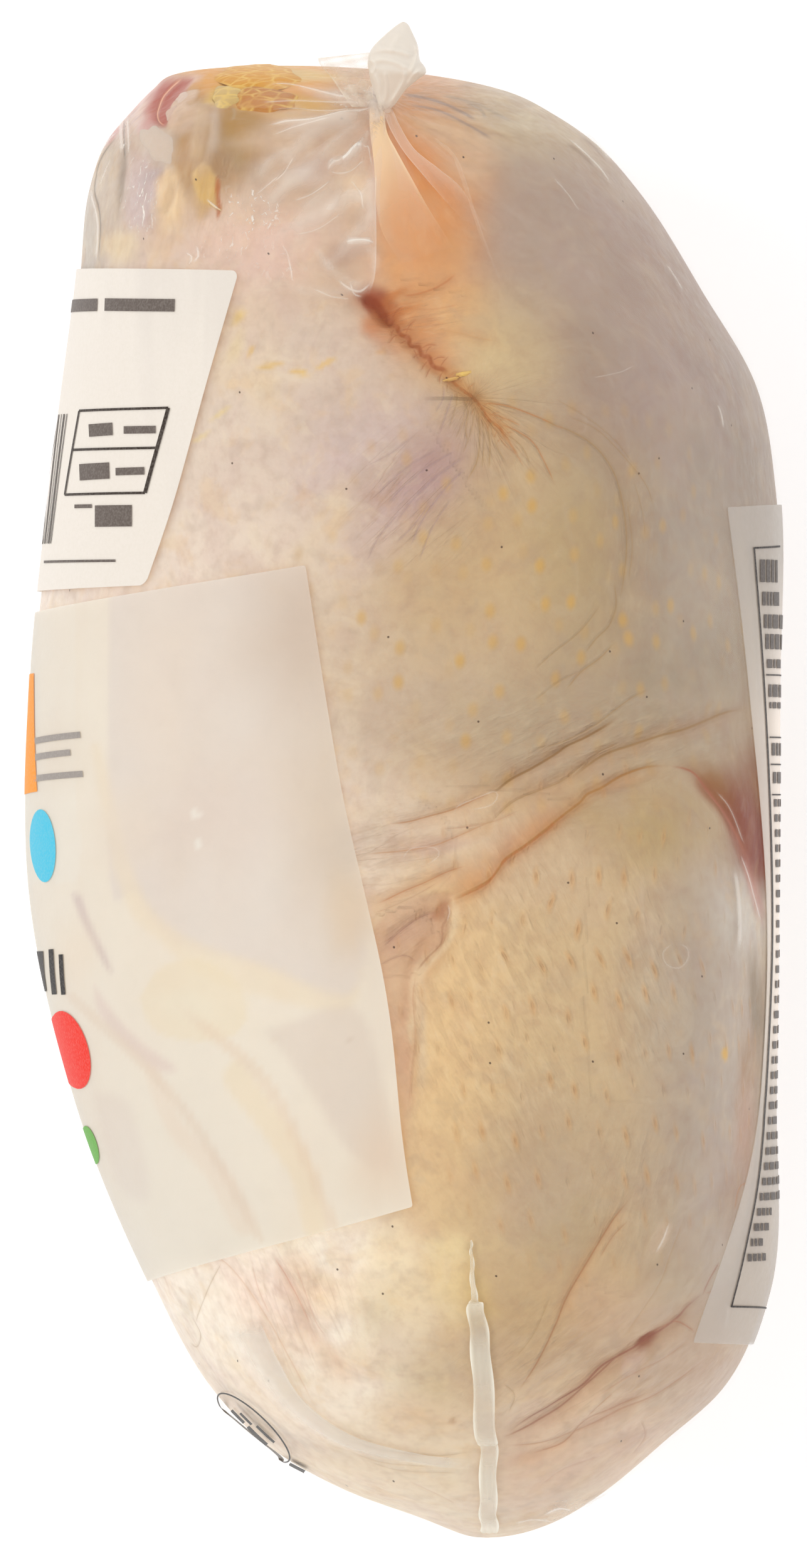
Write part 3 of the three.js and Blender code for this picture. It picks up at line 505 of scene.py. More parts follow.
# Soft spots of colour on the skin: middle, half length and half width in picture pixels, direction in
# degrees, softness of the edge, colour, opacity, height in millimetres
SPOTS = [
    ((404, 114), (70, 36), 0, 0.6, (222, 160, 40), 0.9, -0.1),
    ((215, 165), (70, 30), 45, 0.6, (226, 196, 184), 0.8, 0),
    ((168, 216), (34, 10), 50, 0.6, (206, 132, 132), 0.8, 0),
    ((252, 158), (46, 20), 62, 0.8, (184, 98, 84), 1.0, 0),
    ((274, 156), (36, 18), 52, 0.5, (180, 104, 88), 1.0, -0.4),
    ((296, 126), (26, 11), 16, 0.7, (224, 190, 172), 0.85, 0),
    ((296, 190), (40, 26), 30, 0.5, (212, 180, 150), 0.9, 0.1),
    ((242, 228), (54, 32), -50, 0.5, (210, 190, 172), 1.0, 0.1),
    ((222, 196), (26, 14), -46, 0.7, (222, 194, 186), 0.8, 0),
    ((240, 190), (30, 14), 62, 0.9, (198, 130, 120), 0.8, 0),
    ((262, 270), (20, 12), -30, 0.6, (200, 182, 168), 0.7, 0),
    ((228, 314), (56, 22), 85, 0.6, (204, 184, 180), 0.9, 0),
    ((241, 283), (22, 10), 30, 0.8, (186, 166, 164), 0.8, -0.1),
    # painted grey shade in a dark line below the frosted fold
    ((191, 285), (52, 7), 84, 0.8, (150, 130, 112), 0.8, -0.2),
    ((165, 312), (56, 17), 78, 0.6, (204, 186, 168), 0.9, 0),
    ((190, 396), (38, 28), 0, 0.7, (226, 204, 168), 0.8, 0),
    ((136, 378), (62, 13), 92, 0.5, (200, 188, 172), 0.9, 0),
    ((270, 318), (44, 22), 88, 0.5, (238, 206, 164), 0.95, 0.15),
    ((300, 250), (40, 22), 70, 0.7, (198, 160, 120), 0.8, 0),
    ((318, 215), (60, 14), 80, 0.6, (208, 178, 142), 0.8, 0.1),
    ((326, 318), (40, 18), 78, 0.5, (204, 168, 122), 0.8, -0.3),
    # painted shade in the hollow of the body cavity
    ((372, 236), (22, 44), 20, 0.8, (176, 146, 106), 0.9, -0.5),
    ((412, 228), (40, 26), 0, 0.9, (188, 148, 96), 0.7, 0),
    ((384, 196), (36, 26), 0, 0.8, (176, 132, 66), 0.9, 0),
    ((408, 122), (62, 27), 2, 0.4, (214, 146, 0), 1.0, -0.2),
    ((358, 152), (30, 18), 10, 0.5, (224, 184, 96), 1.0, -0.3),
    ((424, 162), (44, 18), -4, 0.6, (184, 110, 0), 1.0, -0.3),
    ((396, 166), (18, 11), 20, 0.5, (222, 172, 62), 1.0, -0.2),
    ((486, 166), (60, 14), -10, 0.7, (214, 168, 92), 0.9, 0),
    ((460, 186), (50, 8), -8, 0.7, (214, 176, 126), 0.7, 0),
    ((482, 118), (60, 13), -4, 0.7, (226, 190, 120), 0.9, 0),
    ((450, 232), (70, 22), -10, 0.8, (220, 192, 164), 0.7, 0),
    ((516, 262), (16, 40), 10, 0.8, (194, 156, 128), 0.7, -0.2),
    # a painted highlight
    ((572, 300), (26, 40), 0, 0.8, (242, 216, 184), 0.7, 0),
    ((497, 280), (26, 22), 0, 0.8, (200, 166, 150), 0.6, -0.1),
    ((440, 400), (110, 60), 20, 0.8, (230, 196, 180), 0.7, 0),
    ((553, 410), (36, 20), 15, 0.8, (180, 138, 114), 0.8, -0.2),
    ((608, 492), (40, 20), -40, 0.7, (136, 52, 4), 1.0, -0.3),
    ((676, 546), (62, 26), -46, 0.9, (216, 150, 96), 0.6, 0),
    ((706, 212), (50, 26), -20, 0.9, (222, 190, 150), 0.7, 0),
    ((748, 262), (44, 50), 0, 0.9, (216, 184, 152), 0.7, 0),
    ((610, 536), (44, 17), -46, 0.9, (200, 140, 112), 0.55, 0),
    ((640, 500), (30, 8), 10, 0.8, (190, 112, 60), 0.7, 0),
    ((628, 478), (26, 8), 30, 0.8, (190, 112, 60), 0.7, 0),
    ((598, 520), (16, 26), -30, 0.8, (204, 134, 96), 0.7, 0),
    ((380, 512), (16, 9), 50, 0.8, (232, 200, 116), 0.7, 0),
    ((352, 664), (20, 4), 35, 0.6, (238, 214, 150), 0.6, 0),
    ((320, 702), (16, 4), 30, 0.6, (240, 218, 160), 0.6, 0),
    ((376, 560), (30, 12), 70, 0.9, (226, 206, 160), 0.5, 0),
    ((430, 590), (22, 5), 10, 0.5, (228, 192, 122), 0.8, 0),
    ((478, 600), (16, 6), -10, 0.5, (228, 192, 122), 0.8, 0),
    ((520, 586), (20, 5), 30, 0.5, (226, 190, 126), 0.7, 0),
    ((400, 566), (10, 5), 60, 0.5, (226, 190, 126), 0.7, 0),
    ((610, 566), (10, 5), 20, 0.6, (216, 170, 120), 0.5, 0),
    ((672, 770), (100, 52), 45, 0.8, (184, 152, 150), 0.75, 0),
    ((600, 860), (90, 40), 50, 0.8, (206, 182, 176), 0.5, 0),
    ((560, 720), (120, 60), 30, 0.9, (212, 192, 190), 0.5, 0),
    ((690, 940), (120, 90), 60, 0.9, (202, 172, 132), 0.5, 0),
    ((920, 880), (70, 140), 0, 0.9, (192, 168, 126), 0.5, 0),
    ((1090, 860), (70, 200), 0, 0.9, (174, 158, 144), 0.5, 0),
    ((1040, 620), (120, 120), 0, 0.9, (176, 156, 148), 0.5, 0),
    ((950, 560), (60, 90), 0, 0.9, (170, 150, 132), 0.4, 0),
    ((1148, 1262), (66, 26), -52, 0.8, (150, 104, 58), 0.85, 0),
    ((1200, 1325), (92, 28), -70, 0.8, (140, 80, 44), 0.9, 0),
    ((1206, 1360), (40, 14), -76, 0.8, (138, 78, 50), 0.8, 0),
    ((1206, 1420), (50, 10), -78, 0.8, (196, 130, 118), 0.7, 0),
    ((1206, 1600), (80, 12), 92, 0.7, (150, 130, 106), 0.9, 0),
    ((1188, 1790), (115, 18), 88, 0.9, (188, 146, 118), 0.7, 0),
    ((1196, 1690), (50, 16), 88, 0.8, (172, 140, 112), 0.8, 0),
    ((1165, 1905), (60, 20), 80, 0.9, (170, 142, 118), 0.7, 0),
    ((1160, 1600), (110, 26), 88, 0.9, (198, 182, 168), 0.5, 0),
    ((1156, 1676), (6, 12), 0, 0.6, (228, 182, 96), 0.9, 0),
    ((1020, 1330), (90, 60), 0, 0.9, (192, 166, 112), 0.4, 0),
    ((1060, 1580), (90, 120), 0, 0.9, (184, 168, 150), 0.4, 0),
    ((650, 1492), (44, 22), 30, 0.8, (204, 168, 148), 0.6, -0.2),
    ((690, 1350), (60, 14), 12, 0.8, (206, 182, 170), 0.6, 0),
    ((668, 1640), (10, 90), 0, 0.7, (224, 204, 172), 0.6, 0.2),
    ((640, 1690), (14, 100), 0, 0.9, (206, 164, 142), 0.5, 0),
    ((680, 2180), (80, 90), 20, 0.9, (204, 178, 134), 0.5, 0),
    ((492, 2050), (50, 40), -50, 0.9, (255, 220, 188), 0.6, 0),
    ((540, 2060), (40, 90), -60, 0.9, (250, 222, 188), 0.5, 0),
    ((500, 2140), (60, 26), -40, 0.9, (250, 222, 196), 0.5, 0),
    ((760, 2070), (30, 60), 10, 0.9, (226, 196, 132), 0.6, 0),
    ((720, 1980), (40, 26), 0, 0.9, (246, 226, 178), 0.6, 0),
    ((640, 2060), (60, 60), 0, 0.9, (232, 204, 150), 0.5, 0),
    ((720, 2050), (40, 70), 10, 0.9, (240, 214, 160), 0.6, 0),
    ((830, 2080), (90, 100), 0, 0.9, (196, 170, 128), 0.5, 0),
    ((420, 2070), (90, 60), -60, 0.9, (253, 222, 202), 0.6, 0),
    ((560, 2170), (60, 40), 20, 0.9, (238, 208, 176), 0.5, 0),
    ((620, 1990), (40, 40), 0, 0.9, (250, 230, 190), 0.6, 0.2),
    ((760, 1950), (60, 60), 0, 0.9, (214, 190, 146), 0.4, 0),
    ((600, 2100), (34, 50), 20, 0.9, (214, 192, 156), 0.5, 0),
    ((660, 2250), (70, 30), -10, 0.9, (228, 196, 160), 0.5, 0),
    ((880, 2340), (110, 50), 20, 0.9, (226, 190, 162), 0.6, 0),
    ((1000, 2290), (60, 60), 30, 0.9, (220, 188, 162), 0.5, 0),
    ((960, 2080), (60, 60), 40, 0.9, (216, 182, 150), 0.5, 0),
    ((1050, 1970), (34, 13), 62, 0.5, (214, 190, 164), 0.8, 0.1),
    ((900, 1960), (70, 70), 30, 0.9, (176, 156, 124), 0.4, 0),
    ((1080, 2040), (40, 70), 20, 0.9, (190, 168, 140), 0.5, 0),
    ((1036, 2134), (22, 10), 35, 0.6, (138, 56, 26), 1.0, -0.3),
    ((1010, 2168), (26, 12), 40, 0.6, (206, 186, 178), 0.7, 0.1),
    ((720, 2262), (9, 3), 0, 0.5, (170, 116, 60), 0.7, 0),
]


def add_spots(spots, x, y, height, colour, upper, shown):
    """Paints the soft spots, with uneven outlines."""
    for index, (middle, (long, wide), turn, soft, tone, cover, rise) in enumerate(spots):
        cx, cy = from_picture(middle)
        reach = 1.7 * max(long, wide) / PIXELS_PER_MM
        near = (np.abs(x - cx) < reach) & (np.abs(y - cy) < reach) & (upper > 0)
        along, across = turned(x[near] - cx, y[near] - cy, turn)
        u, v = along * PIXELS_PER_MM / long, across * PIXELS_PER_MM / wide
        around = np.arctan2(v, u)
        uneven = 1 + 0.08 * np.sin(3 * around + index) + 0.05 * np.sin(7 * around + 2 * index)
        away = np.hypot(u, v) * uneven
        share = (1 - smoothstep(away, 1 - soft, 1 + 0.6 * soft)) * upper[near]
        height[near] += rise * share
        mix = (cover * share)[:, None]
        colour[near] = colour[near] * (1 - mix) + shown(*tone) * mix


def depth_inside(x, y, corners):
    """How far inside a closed outline, in millimetres; negative outside."""
    loop = through(np.vstack([corners, corners[:1]]), 4)
    gap = line_distance(x, y, loop)[0]
    inside = np.zeros(x.shape, bool)
    for (ax, ay), (bx, by) in zip(loop[:-1], loop[1:]):
        crossed = (ay > y) != (by > y)
        inside ^= crossed & (x < ax + (y - ay) * (bx - ax) / (by - ay or 1e-9))
    return np.where(inside, gap, -gap)


# Patches of colour with a clear outline: corners in picture pixels, softness of the edge in millimetres,
# colour, opacity, height in millimetres
PATCHES = [
    ([(722, 1424), (715, 1450), (713, 1478), (700, 1500), (672, 1528), (661, 1556), (657, 1596),
      (650, 1625), (642, 1700), (600, 1700), (590, 1500), (640, 1440), (690, 1424)],
     0.5, (214, 176, 146), 0.6, -0.4),
    ([(717, 1434), (713, 1452), (704, 1464), (690, 1466), (696, 1450), (706, 1438)],
     0.5, (172, 118, 92), 0.75, -0.3),
    ([(720, 1430), (728, 1450), (722, 1484), (708, 1508), (682, 1534), (670, 1560), (668, 1596),
      (658, 1628), (650, 1660), (645, 1640), (652, 1600), (655, 1560), (668, 1530), (697, 1502),
      (709, 1480), (712, 1452)], 0.35, (238, 216, 178), 0.8, 0.3),
    ([(307, 282), (322, 268), (334, 269), (344, 284), (348, 301), (346, 326), (354, 342), (334, 334),
      (316, 323), (308, 298)], 0.4, (214, 176, 116), 0.95, 0.2),
    # painted shadow along the right edge of the fat sliver
    ([(346, 280), (352, 300), (350, 318), (354, 340), (346, 356), (346, 334), (343, 306)],
     0.25, (184, 106, 50), 0.85, -0.1),
    ([(274, 160), (292, 148), (316, 144), (312, 160), (300, 168), (304, 182), (290, 190), (282, 206),
      (266, 202), (272, 184), (268, 172)], 0.3, (214, 182, 154), 0.95, 0.3),
    ([(288, 120), (262, 132), (244, 152), (238, 178), (246, 198), (262, 204), (270, 184), (266, 168),
      (274, 148), (296, 134), (306, 122)], 0.7, (176, 84, 66), 0.95, -0.3),
]


def add_patches(patches, x, y, height, colour, upper, shown):
    for corners, soft, tone, cover, rise in patches:
        corners = from_picture(corners)
        low, high = corners.min(axis=0) - 2 * soft, corners.max(axis=0) + 2 * soft
        near = (x > low[0]) & (x < high[0]) & (y > low[1]) & (y < high[1]) & (upper > 0)
        share = smoothstep(depth_inside(x[near], y[near], corners), -soft, soft) * upper[near]
        height[near] += rise * share
        mix = (cover * share)[:, None]
        colour[near] = colour[near] * (1 - mix) + shown(*tone) * mix


FAR = 8.0                    # half widths from a thin line at which nothing of it shows
CHANNELS = 6


def thin_lines(x, y, upper, lines):
    """Distances to thin lines, signed and in half widths, and how strong each channel's nearest line is.

    Close lines are kept in different channels. The last value is the colour of the nearest line of all."""
    offset = np.full((CHANNELS,) + x.shape, FAR)
    nearest = np.full((CHANNELS,) + x.shape, np.inf)
    strength = np.zeros((CHANNELS,) + x.shape)
    colour = np.ones(x.shape + (3,)) * linear(*OLIVE)
    least = np.full(x.shape, np.inf)
    taken = [[] for _ in range(CHANNELS)]
    for points, half_width, strong, tone in lines:
        dense = through(from_picture(points))
        spare = [min((np.linalg.norm(other[:, None] - dense[None], axis=-1).min() for other in group),
                     default=np.inf) for group in taken]
        channel = int(np.argmax(spare))
        taken[channel].append(dense)
        reach = 6.5 * half_width + 0.5
        near = near_line(x, y, dense, reach) & (upper > 0.05)
        gap, share, side = line_distance(x[near], y[near], dense)
        closer = gap < nearest[channel][near]
        wide = np.clip(gap / half_width, 0, FAR)
        shown = strong * tapered(share, 0.15, 0.15) * (1 - smoothstep(wide, 4, 6))
        for store, value in ((offset, wide * side), (nearest, gap), (strength, shown)):
            store[channel][near] = np.where(closer, value, store[channel][near])
        nearer = gap < least[near]
        least[near] = np.where(nearer, gap, least[near])
        colour[near] = np.where(nearer[:, None], linear(*tone), colour[near])
    return offset, strength, colour


def keep_thin_lines(piece, offset, strength):
    """Stores the channels of thin lines on a closed shell, three in each of two groups."""
    for group, first in (("a", 0), ("b", 3)):
        for kind, values, rest in (("line_offsets_", offset, FAR), ("line_strengths_", strength, 0.0)):
            part = np.moveaxis(values[first:first + 3], 0, -1)
            point_places(piece, kind + group, with_ends(part, rest))


def add_folds(x, y, height, colour, upper):
    """Presses the folds into the height and paints their bottoms in each fold's colour, painted shade along
    with the skin's own tone there.
    """
    for line, half_width, depth, bottom_tint_and_shade, tone in FOLDS.values():
        dense = through(from_picture(line))
        near = near_line(x, y, dense, 5 * half_width) & (upper > 0)
        distance, share, _ = line_distance(x[near], y[near], dense)
        ends = tapered(share, 0.18, 0.18)
        groove = np.exp(-((distance / half_width) ** 2)) * (0.15 + 0.85 * ends) * upper[near]
        lips = np.exp(-(((distance - 2.2 * half_width) / (1.1 * half_width)) ** 2)) * ends * upper[near]
        height[near] += -depth * groove + 0.16 * depth * lips
        mix = (bottom_tint_and_shade * groove ** 0.8)[:, None]
        colour[near] = colour[near] * (1 - mix) + under_film(*tone) * mix


# Fine wrinkles: middle and reach in picture pixels, how strongly they are raised and drawn, and their
# direction in degrees, or the picture point they fan out from
FLOWS = [
    ((805, 705), (110, 100), 0.5, 0.3, (752, 640)),
    ((655, 800), (105, 110), 0.6, 0.35, 43),
    ((890, 1185), (270, 80), 0.6, 0.12, 24),
    ((640, 1370), (110, 80), 0.8, 0.3, 14),
    ((655, 1500), (60, 60), 0.7, 0.2, 30),
    ((800, 1580), (170, 320), 0.75, 0.0, -62),
    ((1000, 1560), (90, 240), 0.75, 0.0, -68),
    ((1010, 1880), (100, 160), 0.5, 0.05, 74),
    ((800, 165), (170, 70), 1.0, 0.5, (600, 150)),
    ((700, 330), (70, 130), 0.3, 0.0, (616, 182)),
    ((940, 2190), (190, 120), 0.7, 0.2, 36),
    ((460, 2080), (120, 120), 0.6, 0.2, -66),
    ((1010, 860), (60, 150), 0.4, 0.1, 86),
    ((330, 300), (90, 110), 0.5, 0.1, 80),
    ((670, 520), (70, 60), 0.7, 0.3, 10),
]


FAN_RADIUS = 14.0            # millimetres from a fan's point at which its angles are true lengths
FLOW_SHIFT = 37.0            # moves the noise of each flow away from the last one's


def flow_places(x, y):
    """Places across and along the wrinkles of the strongest flow, and how raised and drawn they are."""
    weights, across, along, raised, drawn = [], [], [], [], []
    for middle, reach, relief_strength, line_strength, way in FLOWS:
        weights.append(np.exp(-away_from(x, y, middle, reach) ** 1.5))
        raised.append(relief_strength + 0 * x)
        drawn.append(line_strength + 0 * x)
        if isinstance(way, tuple):
            fx, fy = from_picture(way)
            across.append(np.arctan2(y - fy, x - fx) * FAN_RADIUS)
            along.append(np.hypot(x - fx, y - fy))
        else:
            cx, cy = from_picture(middle)
            lengthwise, crosswise = turned(x - cx, y - cy, way)
            across.append(crosswise)
            along.append(lengthwise)
    weights = np.array(weights)
    order = np.argsort(weights, axis=0)
    best, second = order[-1:], order[-2:-1]

    def pick(values, which=best):
        return np.take_along_axis(np.array(values), which, axis=0)[0]

    lead = pick(weights) - pick(weights, second)
    places = np.stack([pick(across), pick(along), best[0] * FLOW_SHIFT], -1)
    return places, lead * pick(raised), lead * pick(drawn)


# ---------- meshes ----------

def facing_out(points, faces):
    """The faces, all turned over if a closed piece is inside out or an open one faces down."""
    corners = np.array([face[:3] for face in faces])
    a, b, c = (points[corners[:, k]] - points.mean(axis=0) for k in range(3))
    crosses = np.cross(b - a, c - a)
    volume = np.einsum("ij,ij->", a, crosses) / 6
    size = np.linalg.norm(np.ptp(points, axis=0)) ** 3
    inward = volume < 0 if abs(volume) > 1e-5 * size else crosses[:, 2].sum() < 0
    return [face[::-1] for face in faces] if inward else faces


def new_piece(name, points, faces, material):
    """A piece of the object that rides the part's body. Points are in millimetres."""
    points = np.asarray(points, float)
    faces = facing_out(points, faces)
    mesh = bpy.data.meshes.new(name)
    mesh.from_pydata((points * MM).tolist(), [], faces)
    mesh.validate()
    mesh.polygons.foreach_set("use_smooth", [True] * len(mesh.polygons))
    mesh.update()
    piece = bpy.data.objects.new(name, mesh)
    bpy.context.scene.collection.objects.link(piece)
    mesh.materials.append(material)
    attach(piece, BODY)
    return piece


def point_colours(piece, name, colours):
    layer = piece.data.color_attributes.new(name, "FLOAT_COLOR", "POINT")
    rgba = np.ones((len(colours), 4))
    rgba[:, :3] = colours
    layer.data.foreach_set("color", rgba.ravel())


def point_values(piece, name, values):
    layer = piece.data.attributes.new(name, "FLOAT", "POINT")
    layer.data.foreach_set("value", np.asarray(values, float).ravel())


def point_places(piece, name, vectors):
    layer = piece.data.attributes.new(name, "FLOAT_VECTOR", "POINT")
    layer.data.foreach_set("vector", np.asarray(vectors, float).ravel())


def grid_faces(rows, columns, first=0, closed=False):
    """Quads between rows of points; a closed grid joins its last column to its first."""
    across = columns if closed else columns - 1
    i, j = np.meshgrid(np.arange(rows - 1), np.arange(across), indexing="ij")
    k = (j + 1) % columns
    quads = np.stack([i * columns + j, i * columns + k, (i + 1) * columns + k, (i + 1) * columns + j], -1)
    return (quads.reshape(-1, 4) + first).tolist()


def closed_shell(rows, columns, upper_share):
    """Latitudes and angles of a closed shell's rows, with most of its columns on the upper side."""
    u = np.linspace(-1, 1, rows + 2)[1:-1]
    phi = (math.pi / 2) * (u - (0.3 / math.pi) * np.sin(math.pi * u))
    top = round(columns * upper_share)
    angle = np.concatenate([np.linspace(0, math.pi, top, endpoint=False),
                            np.linspace(math.pi, 2 * math.pi, columns - top, endpoint=False)])
    return np.meshgrid(phi, angle, indexing="ij")


def with_ends(grid, rest=0.0):
    """The values of a closed shell's grid in a row, and plain ones for its two end points."""
    rows = grid.reshape((-1,) + grid.shape[2:])
    return np.concatenate([rows, np.full((2,) + rows.shape[1:], rest)])


def shell_faces(rows, columns):
    """A closed grid of rings with a fan to a point at each end; the two points come last."""
    faces = grid_faces(rows, columns, closed=True)
    neck, tail = rows * columns, rows * columns + 1
    for j in range(columns):
        k = (j + 1) % columns
        faces.append([neck, k, j])
        faces.append([tail, (rows - 1) * columns + j, (rows - 1) * columns + k])
    return faces


def sheet_solid(points, normals, thickness):
    """A thin closed sheet from a grid of points, its rim with points of its own: points and faces."""
    rows, columns = points.shape[:2]
    count = rows * columns
    inner, outer = points.reshape(-1, 3), (points + normals * thickness).reshape(-1, 3)
    faces = [face[::-1] for face in grid_faces(rows, columns)] + grid_faces(rows, columns, first=count)
    loop = list(range(columns)) + [r * columns + columns - 1 for r in range(1, rows)]
    loop += [(rows - 1) * columns + c for c in range(columns - 2, -1, -1)]
    loop += [r * columns for r in range(rows - 2, 0, -1)]
    rim = np.vstack([inner[loop], outer[loop]])
    around = len(loop)
    for a in range(around):
        b = (a + 1) % around
        faces.append([2 * count + a, 2 * count + b, 2 * count + around + b, 2 * count + around + a])
    return np.vstack([inner, outer, rim]), faces


# ---------- materials ----------

class Shader:
    """A material's node tree, built by short calls. Underscores in input names stand for spaces."""

    def __init__(self, name):
        self.material = bpy.data.materials.new(name)
        self.material.use_nodes = True
        self.tree = self.material.node_tree
        self.tree.nodes.clear()
        self.place = self.node("ShaderNodeTexCoord").outputs["Object"]

    def feed(self, socket, value):
        if isinstance(value, bpy.types.NodeSocket):
            self.tree.links.new(value, socket)
        else:
            socket.default_value = value

    def node(self, kind, options=None, **inputs):
        made = self.tree.nodes.new(kind)
        for key, value in (options or {}).items():
            setattr(made, key, value)
        for key, value in inputs.items():
            self.feed(made.inputs[key.replace("_", " ")], value)
        return made

    def attribute(self, name, output="Fac"):
        return self.node("ShaderNodeAttribute", {"attribute_name": name}).outputs[output]

    def math(self, operation, first, second=0.0, third=0.0):
        made = self.node("ShaderNodeMath", {"operation": operation})
        for socket, value in zip(made.inputs, (first, second, third)):
            self.feed(socket, value)
        return made.outputs[0]

    def between(self, value, low, high, to_low=0.0, to_high=1.0):
        made = self.node("ShaderNodeMapRange", {"interpolation_type": "SMOOTHSTEP"}, Value=value,
                         From_Min=low, From_Max=high, To_Min=to_low, To_Max=to_high)
        return made.outputs["Result"]

    def mixed(self, share, first, second, blend="MIX"):
        made = self.node("ShaderNodeMix", {"data_type": "RGBA", "blend_type": blend})
        for index, value in ((0, share), (6, first), (7, second)):
            self.feed(made.inputs[index], value)
        return made.outputs[2]

    def stretched(self, source, scale, turn=0.0):
        return self.node("ShaderNodeMapping", Vector=source, Scale=scale,
                         Rotation=(0, 0, math.radians(turn))).outputs["Vector"]

    def noise(self, scale, detail=3.0, roughness=0.5, distortion=0.0, source=None):
        made = self.node("ShaderNodeTexNoise", Vector=source or self.place, Scale=scale, Detail=detail,
                         Roughness=roughness, Distortion=distortion)
        return made.outputs["Fac"]

    def cells(self, source, randomness):
        return self.node("ShaderNodeTexVoronoi", {"voronoi_dimensions": "2D"}, Vector=source, Scale=1.0,
                         Randomness=randomness)

    def bump(self, height, distance, strength):
        made = self.node("ShaderNodeBump", Height=height, Distance=distance, Strength=strength)
        return made.outputs["Normal"]

    def blended(self, share, first, second):
        """The second shader by this share, over the first one."""
        made = self.node("ShaderNodeMixShader")
        for socket, value in zip(made.inputs, (share, first.outputs[0], second.outputs[0])):
            self.feed(socket, value)
        return made

    def thin_lines(self):
        """How strongly the stored thin lines show, and the soft valleys along them."""
        line, valley = None, None
        for group in ("a", "b"):
            offsets, strengths = (
                self.node("ShaderNodeSeparateXYZ", Vector=self.attribute(kind + group, "Vector"))
                for kind in ("line_offsets_", "line_strengths_"))
            for axis in "XYZ":
                far = self.math("ABSOLUTE", offsets.outputs[axis])
                fine = self.math("MULTIPLY", self.between(far, 0.3, 1.2, 1, 0), strengths.outputs[axis])
                soft = self.math("MULTIPLY", self.between(far, 0.0, 4.0, 1, 0), strengths.outputs[axis])
                line = fine if line is None else self.math("MAXIMUM", line, fine)
                valley = soft if valley is None else self.math("MAXIMUM", valley, soft)
        return line, valley

    def finish(self, surface):
        self.node("ShaderNodeOutputMaterial", Surface=surface.outputs[0])
        return self.material


def tone(red, green, blue):
    return (*linear(red, green, blue), 1.0)


